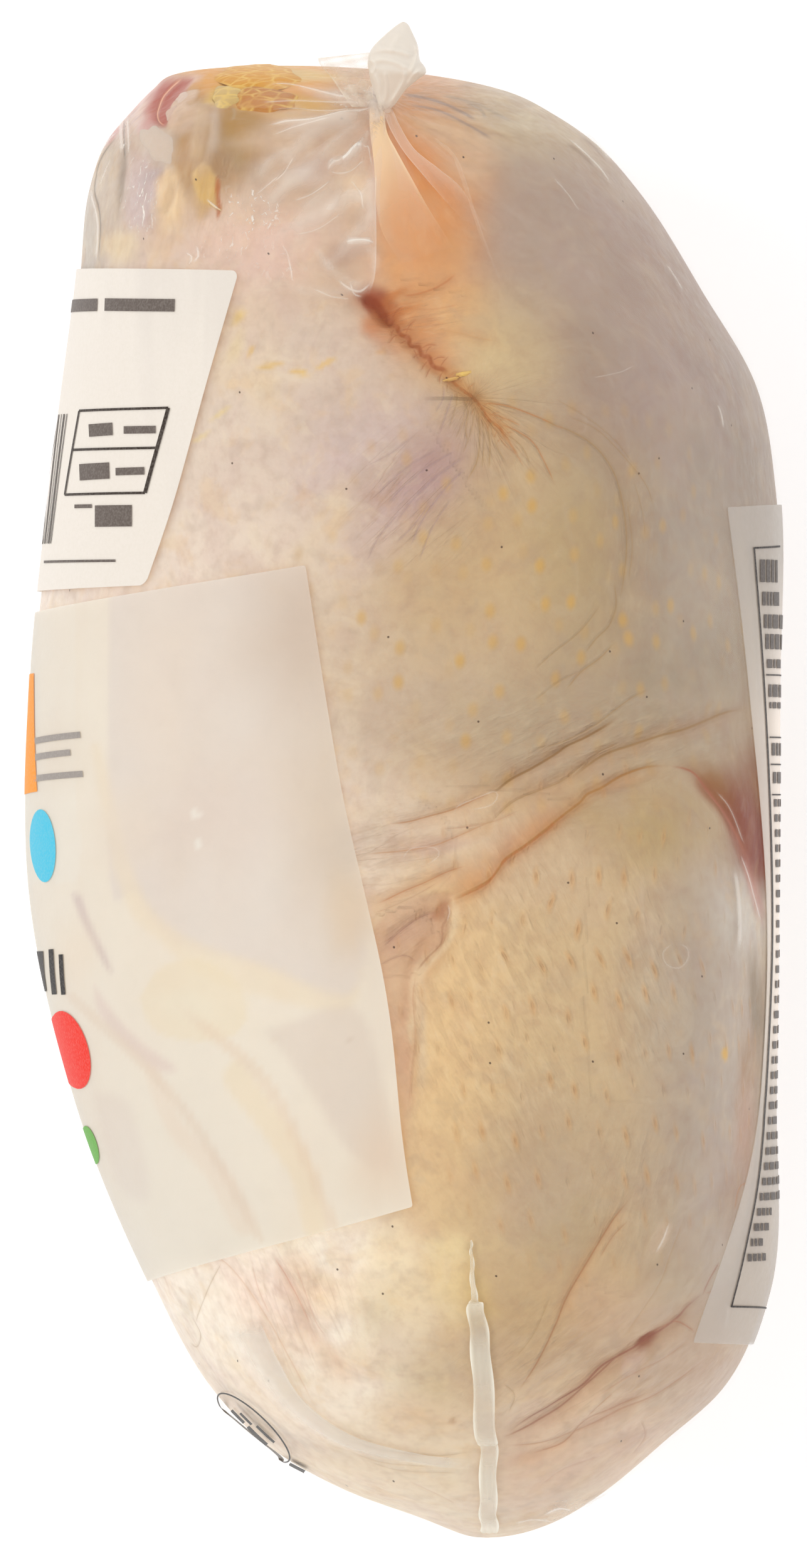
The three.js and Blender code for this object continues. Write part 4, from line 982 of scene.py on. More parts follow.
def skin_material():
    s = Shader("raw_chicken_skin")
    flat = s.attribute("unrolled", "Vector")
    colour = s.attribute("tint", "Color")
    paleness = s.node("ShaderNodeSeparateColor", Color=colour).outputs["Blue"]
    pale = s.between(paleness, 0.02, 0.22)
    bright = s.between(paleness, 0.22, 0.42, 0.25, 1)
    fine = s.noise(520, 3, 0.6)
    # mottling: noise, where it begins and is full, its greatest share, which skin takes it, its colour
    for mottle, low, high, most, where, shade in [
            (s.noise(42, 3, 0.6), 0.5, 0.68, 0.18, pale, (188, 164, 156)),
            (s.noise(55, 3, 0.55, 0.8), 0.52, 0.7, 0.28, bright, (234, 208, 162)),
            (s.noise(150, 3, 0.6, 0.3), 0.52, 0.7, 0.24, bright, (226, 186, 126)),
            (s.noise(210, 2, 0.6, 0.4), 0.5, 0.7, 0.16, pale, (168, 148, 130)),
            (fine, 0.4, 0.75, 0.16, pale, (170, 132, 104))]:
        share = s.math("MULTIPLY", s.between(mottle, low, high, 0, most), where)
        colour = s.mixed(share, colour, tone(*shade))

    clouds = s.noise(95, 4, 0.62, 1.2)
    darker = s.math("MULTIPLY", s.between(clouds, 0.48, 0.64, 0, 0.26), pale)
    colour = s.mixed(darker, colour, tone(238, 226, 230), "MULTIPLY")
    lighter = s.math("MULTIPLY", s.between(clouds, 0.46, 0.34, 0, 0.2), bright)
    colour = s.mixed(lighter, colour, tone(236, 220, 190))

    # wing: orange-brown quill holes in offset rows; leg: rounder yellow pores
    quills = s.attribute("quills")
    rows = s.cells(s.stretched(flat, (0.301, 0.1025, 1), 45), 0.42).outputs["Distance"]
    quill = s.math("MULTIPLY", s.between(rows, 0.05, 0.26, 1, 0), quills)
    pits = s.math("MULTIPLY", s.between(rows, 0.0, 0.12, 1, 0), quills)
    quill_strength = s.between(s.noise(90, 2), 0.36, 0.62, 0.1, 1)
    quill = s.math("MULTIPLY", quill, quill_strength)
    spots = s.cells(s.stretched(flat, (0.21, 0.15, 1), 12), 0.8)
    chance = s.node("ShaderNodeSeparateXYZ", Vector=spots.outputs["Color"]).outputs["X"]
    pore = s.math("MULTIPLY", s.between(spots.outputs["Distance"], 0.04, 0.28, 1, 0), s.attribute("pores"))
    pore = s.math("MULTIPLY", pore, s.between(chance, 0.1, 1.0, 0.15, 1))
    colour = s.mixed(s.math("MULTIPLY", quill, 0.5), colour, tone(210, 158, 96))
    pit = s.math("MULTIPLY", pits, s.math("MULTIPLY", quill_strength, 0.35))
    colour = s.mixed(pit, colour, tone(180, 122, 72))
    colour = s.mixed(s.math("MULTIPLY", pore, 0.85), colour, tone(206, 162, 88))

    # soft ridges and fine lines of skin along the flows, raised in the bump; painted light on the ridges,
    # painted shade between them and in the fine lines
    flow = s.attribute("flow", "Vector")
    raised = s.attribute("raised")
    streaks = s.noise(1.0, 2, 0.55, 0.3, s.stretched(flow, (0.75, 0.22, 1)))
    low = s.math("MULTIPLY", s.between(streaks, 0.38, 0.56, 0.3, 0), raised)
    high = s.math("MULTIPLY", s.between(streaks, 0.52, 0.72, 0, 0.22), raised)
    colour = s.mixed(high, s.mixed(low, colour, tone(176, 142, 108)), tone(238, 214, 174))
    strands = s.noise(1.0, 2, 0.5, 0.15, s.stretched(flow, (0.34, 0.03, 1)))
    level = s.math("ABSOLUTE", s.math("SUBTRACT", strands, 0.5))
    drawn = s.math("MULTIPLY", s.between(level, 0.0, 0.018, 1, 0), s.attribute("drawn"))
    colour = s.mixed(s.math("MULTIPLY", drawn, 0.7), colour, tone(168, 130, 100))
    specks = s.cells(s.stretched(flat, (0.05, 0.05, 1)), 1.0).outputs["Distance"]
    colour = s.mixed(s.between(specks, 0.006, 0.012, 0.85, 0), colour, tone(70, 48, 36))

    # thin creases: the lines and a soft band round them take the crease colour, painted shade in the creases
    line, valley = s.thin_lines()
    crease_tone = s.attribute("crease_tone", "Color")
    colour = s.mixed(s.math("MULTIPLY", valley, 0.25), colour, crease_tone)
    colour = s.mixed(s.math("MULTIPLY", line, 0.75), colour, crease_tone)

    height = s.math("MULTIPLY", s.noise(240, 3, 0.5), 0.6)
    for part, rise in ((s.noise(800, 2, 0.5), 0.06), (quill, 0.35), (pits, -0.3), (pore, 0.2),
                       (streaks, s.math("MULTIPLY", raised, 1.3)), (drawn, -0.2), (valley, -0.3)):
        height = s.math("MULTIPLY_ADD", part, rise, height)
    shader = s.node("ShaderNodeBsdfPrincipled", {"subsurface_method": "BURLEY"}, Base_Color=colour,
                    Roughness=s.between(fine, 0.2, 0.8, 0.36, 0.52), Normal=s.bump(height, 0.0009, 0.8),
                    Subsurface_Weight=0.12, Subsurface_Radius=(1.0, 0.45, 0.25), Subsurface_Scale=0.002,
                    Specular_IOR_Level=0.15)
    return s.finish(shader)


def film_material(name, white=(240, 230, 218), roughness=0.12, wrinkle=0.5, detailed=False):
    """Clear plastic film: it shows what is behind it, mirrors the lights, and is cloudy by its milk."""
    s = Shader(name)
    cloud = s.attribute("milk")
    height = s.noise(60, 2, 0.5, 0.4)
    if detailed:
        # painted sparkle: white specks of milk where the film is frosted stand in for its glints
        sparkle = s.between(s.noise(900, 2, 0.5, 1.2, s.stretched(s.place, (1, 0.5, 1), 30)), 0.6, 0.68)
        sparkle = s.math("MULTIPLY", sparkle, s.attribute("frost"))
        height = s.math("MULTIPLY_ADD", sparkle, 0.3, height)
        cloud = s.math("MULTIPLY_ADD", sparkle, 0.85, cloud)
        # the crumpled folds are raised and cloudier on their ridges, a painted sheen
        pulled = s.attribute("pulled", "Vector")
        crumple = s.attribute("crumple")
        ridge = s.noise(0.2, 2, 0.5, 0.6, s.stretched(pulled, (1, 0.4, 1)))
        folds = s.math("MULTIPLY", s.between(ridge, 0.42, 0.66), crumple)
        cloud = s.math("MULTIPLY_ADD", folds, 0.26, cloud)
        height = s.math("MULTIPLY_ADD", folds, 1.0, height)
        # thin white lines and a soft band round them: folds and painted glints in the milk
        line, valley = s.thin_lines()
        cloud = s.math("MULTIPLY_ADD", line, 0.45, s.math("MULTIPLY_ADD", valley, 0.15, cloud))
        height = s.math("MULTIPLY_ADD", valley, 0.3, height)
        cloud = s.math("MINIMUM", cloud, 0.95)
    normal = s.bump(height, 0.0012, wrinkle)
    mirror = s.node("ShaderNodeBsdfGlossy", Color=(1, 1, 1, 1), Roughness=roughness, Normal=normal)
    clear = s.node("ShaderNodeBsdfTransparent", Color=(1, 1, 1, 1))
    edge_on = s.node("ShaderNodeLayerWeight", Blend=0.5, Normal=normal).outputs["Facing"]
    grazing = s.math("MULTIPLY_ADD", s.math("POWER", edge_on, 5.0), 0.12, 0.025)
    milky = s.node("ShaderNodeBsdfPrincipled", Base_Color=tone(*white), Roughness=0.28, Normal=normal)
    return s.finish(s.blended(cloud, s.blended(grazing, clear, mirror), milky))


def paper_material():
    s = Shader("label_paper")
    fibre = s.noise(1500, 4, 0.6)
    folds = s.noise(30, 3, 0.5, 0.3, s.stretched(s.place, (3, 0.4, 1), -12))
    colour = s.mixed(s.between(fibre, 0.3, 0.8), tone(237, 228, 217), tone(234, 225, 213))
    # painted shade along the paper's soft folds
    colour = s.mixed(s.between(folds, 0.5, 0.66, 0, 0.6), colour, tone(226, 217, 207))
    shader = s.node("ShaderNodeBsdfPrincipled", Base_Color=colour,
                    Roughness=s.between(fibre, 0, 1, 0.5, 0.62),
                    Normal=s.bump(s.math("MULTIPLY_ADD", fibre, 0.12, folds), 0.0014, 0.5))
    return s.finish(shader)


def frosted_material(name, colour, dark):
    """A translucent white label: what lies under it shows softly."""
    s = Shader(name)
    streaks = s.noise(11, 4, 0.5, 0.8, s.stretched(s.place, (2.6, 0.8, 1), 20))
    body = s.mixed(s.between(streaks, 0.35, 0.7), tone(*colour), tone(*dark))
    body = s.mixed(1.0, body, s.attribute("tint", "Color"), "MULTIPLY")
    grain = s.noise(900, 3, 0.6)
    shader = s.node("ShaderNodeBsdfPrincipled", Base_Color=body,
                    Roughness=s.between(grain, 0.2, 0.8, 0.32, 0.48),
                    Normal=s.bump(s.math("MULTIPLY_ADD", grain, 0.2, streaks), 0.0005, 0.4))
    clear = s.node("ShaderNodeBsdfTransparent", Color=(1, 1, 1, 1))
    return s.finish(s.blended(s.attribute("cover"), clear, shader))


def ink_material(name, colour):
    s = Shader(name)
    grain = s.noise(2500, 2, 0.5)
    body = s.mixed(s.between(grain, 0.35, 0.75, 0, 0.1), tone(*colour), tone(235, 226, 215))
    shader = s.node("ShaderNodeBsdfPrincipled", Base_Color=body, Roughness=0.45, Specular_IOR_Level=0.05)
    return s.finish(shader)


# ---------- the bird ----------

SKIN_DEPTH = 0.55            # how far the skin lies under the film
# Where the wing shows its quill holes and the thigh its pores: middle and reach in millimetres
WING_QUILLS = ((28, -36), (29, 38))
THIGH_PORES = ((18, 27), (33, 31))


def oval(x, y, middle, reach):
    """1 in the middle of an oval, falling to 0 past its edge."""
    return np.exp(-((((x - middle[0]) / reach[0]) ** 2 + ((y - middle[1]) / reach[1]) ** 2) ** 2))


def make_bird():
    rows, columns = 470, 520
    phi, angle = closed_shell(rows, columns, 0.8)
    place = film_point(phi, angle)
    normal = film_normal(phi, angle)
    x, y = place[..., 0], place[..., 1]
    upper = smoothstep(np.sin(angle), -0.12, 0.3)
    height = np.zeros(x.shape)
    colour = skin_colour(x, y, 0.3 + 0.7 * smoothstep(np.sin(angle), -0.95, 0.2))
    add_spots(SPOTS, x, y, height, colour, upper, under_film)
    add_patches(PATCHES, x, y, height, colour, upper, under_film)
    add_folds(x, y, height, colour, upper)
    place = place + normal * (height - SKIN_DEPTH)[..., None]
    place[..., 2] = np.maximum(place[..., 2], 0.4)
    ends = [(STATIONS[0, 1], NECK_TIP + 1, MID_PLANE), (STATIONS[-1, 1], TAIL_TIP - 1, MID_PLANE)]
    points = np.vstack([place.reshape(-1, 3), ends])
    piece = new_piece("chicken_body", points, shell_faces(rows, columns), skin_material())
    tints = colour.reshape(-1, 3)
    point_colours(piece, "tint", np.vstack([tints, tints[:1], tints[-1:]]))
    arc = np.cumsum(np.linalg.norm(np.diff(place, axis=1, prepend=place[:, :1]), axis=-1), axis=1)
    middle = np.argmin(np.abs(angle - math.pi / 2), axis=1)
    arc = arc - arc[np.arange(rows), middle][:, None]
    flat = np.stack([arc, y, np.zeros_like(arc)], -1).reshape(-1, 3)
    point_places(piece, "unrolled", np.vstack([flat, flat[:2]]))
    flow, raised, drawn = flow_places(x, y)
    point_places(piece, "flow", with_ends(flow))
    for name, values in (("quills", oval(x, y, *WING_QUILLS)), ("pores", oval(x, y, *THIGH_PORES)),
                         ("raised", raised * upper), ("drawn", drawn * upper)):
        point_values(piece, name, with_ends(values))
    offset, strength, crease_tone = thin_lines(x, y, upper, CREASES)
    keep_thin_lines(piece, offset, strength)
    point_colours(piece, "crease_tone", with_ends(crease_tone))
    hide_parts("chicken_pack")


# Lumps under the film: middle, half length and half width in picture pixels, direction, height of the top
# over the film in millimetres, colour
FAT_LUMPS = [
    ((412, 119), (66, 26), -2, -0.12, (216, 148, 0)), ((362, 154), (24, 20), 24, -0.2, (208, 172, 100)),
    ((422, 159), (54, 22), -4, -0.18, (192, 120, 0)), ((738, 602), (13, 4), 10, -0.12, (228, 188, 112)),
    ((719, 610), (12, 2.6), 10, -0.12, (222, 176, 104)),
]
CARTILAGE_LUMPS = [
    ((250, 233), (42, 27), -52, -0.2, (208, 187, 168)), ((298, 154), (22, 10), 20, -0.26, (216, 188, 168)),
    ((282, 180), (22, 15), 40, -0.3, (206, 172, 150)),
]


def lump_material(name, scatter, vein):
    """Fat or gristle: its own colour, with pale veins between lobules as far as vein says."""
    s = Shader(name)
    grain = s.noise(300, 4, 0.6)
    lobules = s.node("ShaderNodeTexVoronoi", {"feature": "DISTANCE_TO_EDGE"}, Scale=400.0, Randomness=1.0,
                     Vector=s.place).outputs["Distance"]
    veins = s.math("MULTIPLY", s.between(lobules, 0.0, 0.16, 1, 0), s.between(grain, 0.35, 0.6, 0.3, 1))
    colour = s.mixed(s.math("MULTIPLY", veins, vein), s.attribute("tint", "Color"), tone(238, 202, 104))
    height = s.math("MULTIPLY_ADD", veins, -0.08 * vein, s.math("ADD", grain, s.noise(120, 3)))
    shader = s.node("ShaderNodeBsdfPrincipled", Base_Color=colour, Roughness=0.4,
                    Normal=s.bump(height, 0.0006, 0.6), Specular_IOR_Level=0.05, Subsurface_Weight=scatter,
                    Subsurface_Radius=(1.0, 0.6, 0.35), Subsurface_Scale=0.003)
    return s.finish(shader)


def make_lumps(name, lumps, material):
    """Low domes sunk in the skin, with uneven outlines, each just under the film."""
    rings, sectors = 12, 40
    points, faces, tints = [], [], []
    radius = np.linspace(0, 1, rings + 1)[1:]
    around = np.linspace(0, 2 * math.pi, sectors, endpoint=False)
    for index, (middle, (long, wide), turn, rise, colour) in enumerate(lumps):
        rim = 1 + 0.10 * np.sin(3 * around + index) + 0.06 * np.sin(7 * around + 2 * index)
        r, a = np.meshgrid(radius, around, indexing="ij")
        along, across = long * r * rim * np.cos(a), wide * r * rim * np.sin(a)
        place = from_picture(np.stack(turned(along, across, turn), -1) + middle)
        depth = rise - 0.42 * r ** 3 - 0.05 * r * (1 + np.sin(5 * a + 6 * r + index))
        first = sum(len(p) for p in points)
        shell = over_film(place[..., 0], place[..., 1], depth).reshape(-1, 3)
        top = over_film(*from_picture([middle]).T, np.array([rise]))
        faces += grid_faces(rings, sectors, first=first, closed=True)
        faces += [[first + rings * sectors, first + (j + 1) % sectors, first + j] for j in range(sectors)]
        points += [shell, top]
        # painted shade: each lump's tint darkens a little towards its rim
        shade = (1 - 0.06 * r.ravel() ** 3)[:, None] * linear(*colour)
        tints += [shade, linear(*colour)[None]]
    piece = new_piece(name, np.vstack(points), faces, material)
    point_colours(piece, "tint", np.vstack(tints))


# ---------- the bag ----------

GATHER = (616, 182)          # where the film is tied, in picture pixels
PLEAT_REACH = 22.0           # how far its pleats run from there, in millimetres
# Places where the film is finely crinkled, and where white specks in its milk paint its sparkle: middle and
# reach in picture pixels, strength
FROSTED = [((226, 315), (28, 60), 1.0), ((402, 345), (48, 40), 0.9), ((362, 402), (40, 22), 0.6),
           ((202, 215), (9, 34), 1.0), ((440, 425), (50, 30), 0.3), ((930, 2408), (70, 22), 0.5),
           ((560, 160), (30, 30), 0.5)]
# Places where it is pulled into larger folds towards the knot
CRUMPLED = [((505, 340), (110, 140), 1.0), ((440, 260), (120, 70), 0.5), ((480, 180), (100, 40), 0.4),
            ((660, 330), (60, 140), 0.12), ((400, 420), (90, 70), 0.5), ((900, 2380), (160, 60), 0.4),
            ((430, 2240), (120, 70), 0.3)]
# Places where it lies wet and clear on the meat
CLEAR = [((405, 132), (90, 50), 0.9), ((630, 512), (60, 44), 0.8), ((1170, 1290), (60, 100), 0.8),
         ((255, 170), (36, 40), 0.8)]
# Thin white folds of the film, and glints painted as white lines in its milk: line in picture pixels,
# half width in millimetres, strength
FILM_LINES = [
    ([(190, 212), (180, 219), (167, 235), (153, 258), (146, 280)], 0.14, 0.9),
    ([(146, 300), (148, 318), (155, 342), (158, 373), (155, 421)], 0.18, 0.8),
    ([(178, 256), (170, 275), (160, 300)], 0.12, 0.5),
    ([(194, 186), (194, 212), (196, 248)], 0.3, 0.7), ([(204, 188), (206, 215), (207, 250)], 0.16, 0.7),
    ([(430, 141), (460, 141), (490, 150), (530, 162), (570, 172)], 0.16, 0.6),
    ([(415, 170), (470, 168), (530, 172), (580, 176)], 0.12, 0.5),
    ([(425, 208), (465, 203), (510, 201), (560, 188), (600, 183)], 0.2, 0.8),
    ([(436, 226), (480, 214), (530, 205)], 0.12, 0.4),
    ([(470, 330), (500, 318), (528, 300)], 0.12, 0.6), ([(476, 384), (508, 374), (545, 352)], 0.1, 0.5),
    ([(462, 420), (466, 440), (468, 456)], 0.14, 0.9), ([(452, 400), (460, 412), (464, 426)], 0.1, 0.6),
    ([(440, 300), (455, 285), (470, 262)], 0.1, 0.5), ([(560, 300), (575, 318), (580, 345)], 0.12, 0.5),
    ([(300, 410), (310, 418), (306, 428)], 0.14, 0.8), ([(410, 320), (428, 306), (446, 290)], 0.1, 0.5),
    ([(430, 182), (470, 180), (520, 186), (560, 184)], 0.1, 0.5),
    ([(545, 266), (556, 258), (566, 247), (578, 241)], 0.3, 1.0),
    ([(524, 280), (532, 270), (548, 264)], 0.14, 0.6),
    ([(578, 241), (588, 248), (593, 272)], 0.14, 0.6),
    ([(527, 282), (540, 288), (560, 281), (582, 268)], 0.12, 0.6),
    ([(552, 396), (575, 392), (600, 397)], 0.16, 0.7),
    ([(540, 455), (556, 470), (575, 474), (592, 460)], 0.2, 0.8),
    ([(558, 462), (565, 478), (578, 482)], 0.14, 0.7), ([(500, 470), (530, 482), (560, 486)], 0.12, 0.5),
    ([(600, 275), (599, 340), (600, 400), (598, 448), (588, 474)], 0.1, 0.45),
    ([(317, 400), (320, 415), (312, 425)], 0.2, 0.9), ([(332, 326), (342, 334), (352, 342)], 0.12, 0.9),
    ([(1166, 1384), (1172, 1420), (1175, 1470), (1173, 1515)], 0.35, 0.7),
    ([(1176, 1360), (1190, 1400), (1210, 1470)], 0.12, 0.7),
    ([(1138, 1262), (1160, 1290), (1182, 1345)], 0.12, 0.5),
    ([(1072, 1500), (1090, 1508), (1092, 1526), (1078, 1540), (1058, 1534), (1053, 1514), (1072, 1500)],
     0.14, 0.3),
    ([(722, 1300), (730, 1284), (755, 1274), (785, 1262), (792, 1270), (780, 1284), (745, 1292)], 0.1, 0.4),
    ([(640, 1372), (655, 1352), (690, 1350), (700, 1362), (680, 1378)], 0.1, 0.35),
    ([(714, 1440), (716, 1452), (712, 1466)], 0.1, 0.5),
    ([(905, 226), (930, 246), (956, 272), (972, 296)], 0.16, 0.7),
    ([(930, 212), (955, 236), (972, 256)], 0.2, 0.6),
    ([(1060, 424), (1074, 444), (1088, 468)], 0.14, 0.5),
    ([(1142, 650), (1148, 668), (1150, 686)], 0.16, 0.6),
    ([(880, 290), (905, 318), (922, 344)], 0.1, 0.4), ([(940, 610), (985, 600), (1010, 588)], 0.1, 0.3),
    ([(1042, 1990), (1055, 1965), (1062, 1944)], 0.18, 0.8),
    ([(1150, 2060), (1158, 2090), (1150, 2120)], 0.12, 0.5),
    ([(868, 2412), (890, 2402), (912, 2406)], 0.16, 0.9),
    ([(930, 2398), (955, 2386), (975, 2380)], 0.16, 0.8),
    ([(1010, 2352), (1032, 2338), (1044, 2326)], 0.14, 0.7),
    ([(820, 2426), (850, 2420), (880, 2424)], 0.14, 0.7),
    ([(905, 2434), (930, 2424), (950, 2412)], 0.12, 0.6),
]


# Broad soft folds of the film, cloudier along them, in places as a painted highlight: line in picture
# pixels, half width, cloudiness and height in millimetres
WRINKLES = [
    ([(575, 195), (520, 215), (480, 245), (450, 290)], 1.2, 0.24, 0.5),
    ([(590, 330), (560, 322), (530, 335), (515, 360)], 0.9, 0.22, 0.45),
    ([(596, 392), (570, 396), (550, 393)], 0.4, 0.4, 0.4),
    ([(594, 290), (590, 330), (594, 372)], 0.8, 0.25, 0.35),
    ([(500, 400), (530, 440), (580, 470)], 0.6, 0.22, 0.35),
    ([(470, 250), (440, 262), (410, 300)], 0.7, 0.16, 0.3),
    ([(592, 192), (520, 206), (437, 229)], 0.9, 0.2, 0.3),
    ([(600, 200), (562, 212), (530, 242), (503, 275), (437, 325)], 1.1, 0.2, 0.35),
    ([(600, 215), (577, 240), (556, 270)], 0.8, 0.16, 0.3),
    ([(524, 282), (531, 268), (550, 262), (566, 248), (580, 241)], 0.45, 0.4, 0.45),
    ([(594, 300), (560, 332), (510, 352), (466, 372), (415, 413)], 1.0, 0.2, 0.3),
    ([(596, 350), (562, 385), (535, 420), (510, 455)], 1.0, 0.18, 0.3),
    ([(470, 290), (442, 330), (425, 372)], 1.0, 0.12, 0.25),
    ([(410, 146), (480, 150), (540, 165), (590, 180)], 0.6, 0.16, 0.3),
    ([(432, 206), (498, 203), (578, 183)], 0.7, 0.24, 0.35),
    ([(596, 448), (560, 470), (500, 474), (450, 462)], 0.9, 0.18, 0.3),
    ([(440, 250), (402, 300), (385, 350)], 1.2, 0.1, 0.2),
    ([(540, 290), (520, 320), (480, 345)], 0.7, 0.14, 0.25),
    ([(580, 400), (600, 420), (596, 448)], 0.6, 0.2, 0.25),
    ([(348, 160), (346, 210), (342, 262)], 0.9, 0.16, 0.2),
    ([(1176, 1370), (1184, 1440), (1182, 1530)], 1.0, 0.16, 0.1),
    ([(1165, 1880), (1130, 2010), (1080, 2140)], 1.2, 0.08, 0.3),
    ([(597, 140), (600, 172), (604, 216)], 1.3, 0.6, 0.4),
    ([(300, 2100), (380, 2200), (500, 2290), (640, 2340)], 1.6, 0.08, 0.25),
    ([(860, 2400), (960, 2350), (1060, 2270)], 1.4, 0.08, 0.25),
]


def make_film():
    rows, columns = 380, 450
    phi, angle = closed_shell(rows, columns, 0.78)
    place = film_point(phi, angle)
    normal = film_normal(phi, angle)
    x, y = place[..., 0], place[..., 1]
    gx, gy = from_picture(GATHER)
    away = np.hypot(x - gx, y - gy)
    around = np.arctan2(y - gy, x - gx)
    upper = smoothstep(np.sin(angle), 0.0, 0.25)
    pleats = np.abs(np.sin(9 * around + 1.3 * np.sin(3 * around))) ** 3
    pleats = pleats + 0.5 * np.abs(np.sin(17 * around + 0.8)) ** 4
    pull = np.exp(-((away / PLEAT_REACH) ** 1.5)) * upper * smoothstep(TAIL_TIP - 2 - y, 0, 6)
    height = 0.6 * pull * pleats
    milk = 0.01 + 0.07 * pull * pleats

    def spread(spots):
        total = np.zeros(x.shape)
        for middle, reach, strength in spots:
            spot = np.exp(-away_from(x, y, middle, reach) ** 2)
            total = np.maximum(total, strength * spot * upper)
        return total

    for line, half_width, cloud, rise in WRINKLES:
        gap, share, _ = line_distance(x, y, through(from_picture(line)))
        fold = np.exp(-((gap / half_width) ** 2)) * tapered(share, 0.2, 0.25) * upper
        height += rise * fold
        milk += cloud * fold
    frost, crumple = spread(FROSTED), spread(CRUMPLED)
    milk = (milk + 0.08 * frost + 0.05 * crumple) * (1 - spread(CLEAR))
    place = place + normal * height[..., None]
    place[..., 2] = np.maximum(place[..., 2], 0)
    ends = [(STATIONS[0, 1], NECK_TIP, MID_PLANE), (STATIONS[-1, 1], TAIL_TIP, MID_PLANE)]
    points = np.vstack([place.reshape(-1, 3), ends])
    piece = new_piece("bag_film", points, shell_faces(rows, columns),
                      film_material("bag_film", detailed=True))
    for name, values, rest in (("milk", milk, 0.01), ("frost", frost, 0), ("crumple", crumple, 0)):
        point_values(piece, name, with_ends(values, rest))
    point_places(piece, "pulled", with_ends(np.stack([around * FAN_RADIUS, away, 0 * away], -1)))
    offset, strength, _ = thin_lines(x, y, upper, [(*line, (255, 255, 255)) for line in FILM_LINES])
    keep_thin_lines(piece, offset, strength)
    piece.visible_shadow = False
    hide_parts("chicken_pack")


# Height of the film where the knot comes out of it
KNOT_ROOT = over_film(np.array([-3.9]), np.array([107.0]), np.array([0.0]))[0, 2]
# The knot from its tip to where it sinks into the film: picture row, left and right edges, and height
# in millimetres over the film at the root
KNOT_ROWS = [
    (45, 640, 647, 5.4), (50, 632, 652, 5.3), (62, 617, 658, 5.0), (75, 603, 664, 4.6), (85, 594, 667, 4.3),
    (95, 589, 668, 4.0), (105, 587, 670, 3.7), (113, 587, 676, 3.4), (119, 588, 679, 3.2),
    (126, 589, 678, 2.9),
    (135, 591, 666, 2.4), (149, 595, 649, 1.7), (160, 599, 640, 1.1), (173, 603, 631, 0.4),
    (183, 604, 623, -0.2),
    (200, 600, 624, -1.6),
]
# Ridges of the knot: line in picture pixels, half width and height in millimetres
KNOT_RIDGES = [
    ([(596, 92), (615, 88), (640, 92), (660, 100)], 0.5, 0.5),
    ([(590, 108), (612, 104), (640, 112), (655, 124)], 0.5, 0.45),
    ([(662, 78), (666, 95), (660, 112), (652, 128)], 0.35, 0.5),
    ([(640, 60), (628, 80), (620, 98)], 0.6, 0.3),
    ([(592, 122), (602, 140), (606, 165), (612, 182)], 0.45, 0.5),
    ([(612, 120), (616, 145), (614, 172)], 0.35, 0.35),
    ([(643, 118), (645, 134), (636, 152), (622, 174)], 0.35, 0.5),
    ([(672, 118), (658, 130), (648, 146)], 0.3, 0.4),
    ([(590, 100), (598, 116), (590, 130)], 0.3, 0.35),
]


def make_knot():
    steps, sides = 120, 170
    table = np.array(KNOT_ROWS, float)
    t = np.linspace(0, 1, steps)
    row, left, right, lift = (smooth_curve(np.linspace(0, 1, len(table)), table[:, k])(t) for k in range(4))
    turn = np.linspace(0, 2 * math.pi, sides, endpoint=False)
    aa = np.broadcast_to(turn, (steps, sides))
    middle = (left + right)[:, None] / 2
    half = (right - left)[:, None] / 2
    px = middle + half * np.cos(aa)
    place = from_picture(np.stack([px, row[:, None] + 0 * px], -1))
    thick = 0.45 * half / PIXELS_PER_MM
    ridge = np.zeros(aa.shape)
    for line, wide, rise in KNOT_RIDGES:
        gap, share, _ = line_distance(place[..., 0], place[..., 1], through(from_picture(line)))
        ridge += rise * np.exp(-((gap / wide) ** 2)) * (0.2 + 0.8 * tapered(share, 0.2, 0.2))
    upper = smoothstep(np.sin(aa), 0, 0.4)
    z = KNOT_ROOT + lift[:, None] + thick * np.sin(aa) + 0.8 * ridge * upper
    place = np.concatenate([place, z[..., None]], -1)
    tip = np.append(from_picture((643, 44)), KNOT_ROOT + lift[0])
    foot = np.append(from_picture((612, 203)), KNOT_ROOT - 2.4)
    points = np.vstack([place.reshape(-1, 3), tip, foot])
    material = film_material("bag_film_gathered", (240, 231, 218), 0.22, 0.3)
    piece = new_piece("bag_knot", points, shell_faces(steps, sides), material)
    # cloudier towards the root, and on the ridges as a painted highlight
    milk = np.clip(0.66 + 0.14 * t[:, None] + 0.3 * ridge * upper, 0.3, 0.88) + 0 * aa
    point_values(piece, "milk", np.concatenate([milk.ravel(), [0.6, 0.5]]))


def between_lines(left, right, across):
    """x and y on straight rungs between two lines, at these shares of the way across."""
    grid = left[:, None] * (1 - across)[None, :, None] + right[:, None] * across[None, :, None]
    return grid[..., 0], grid[..., 1]


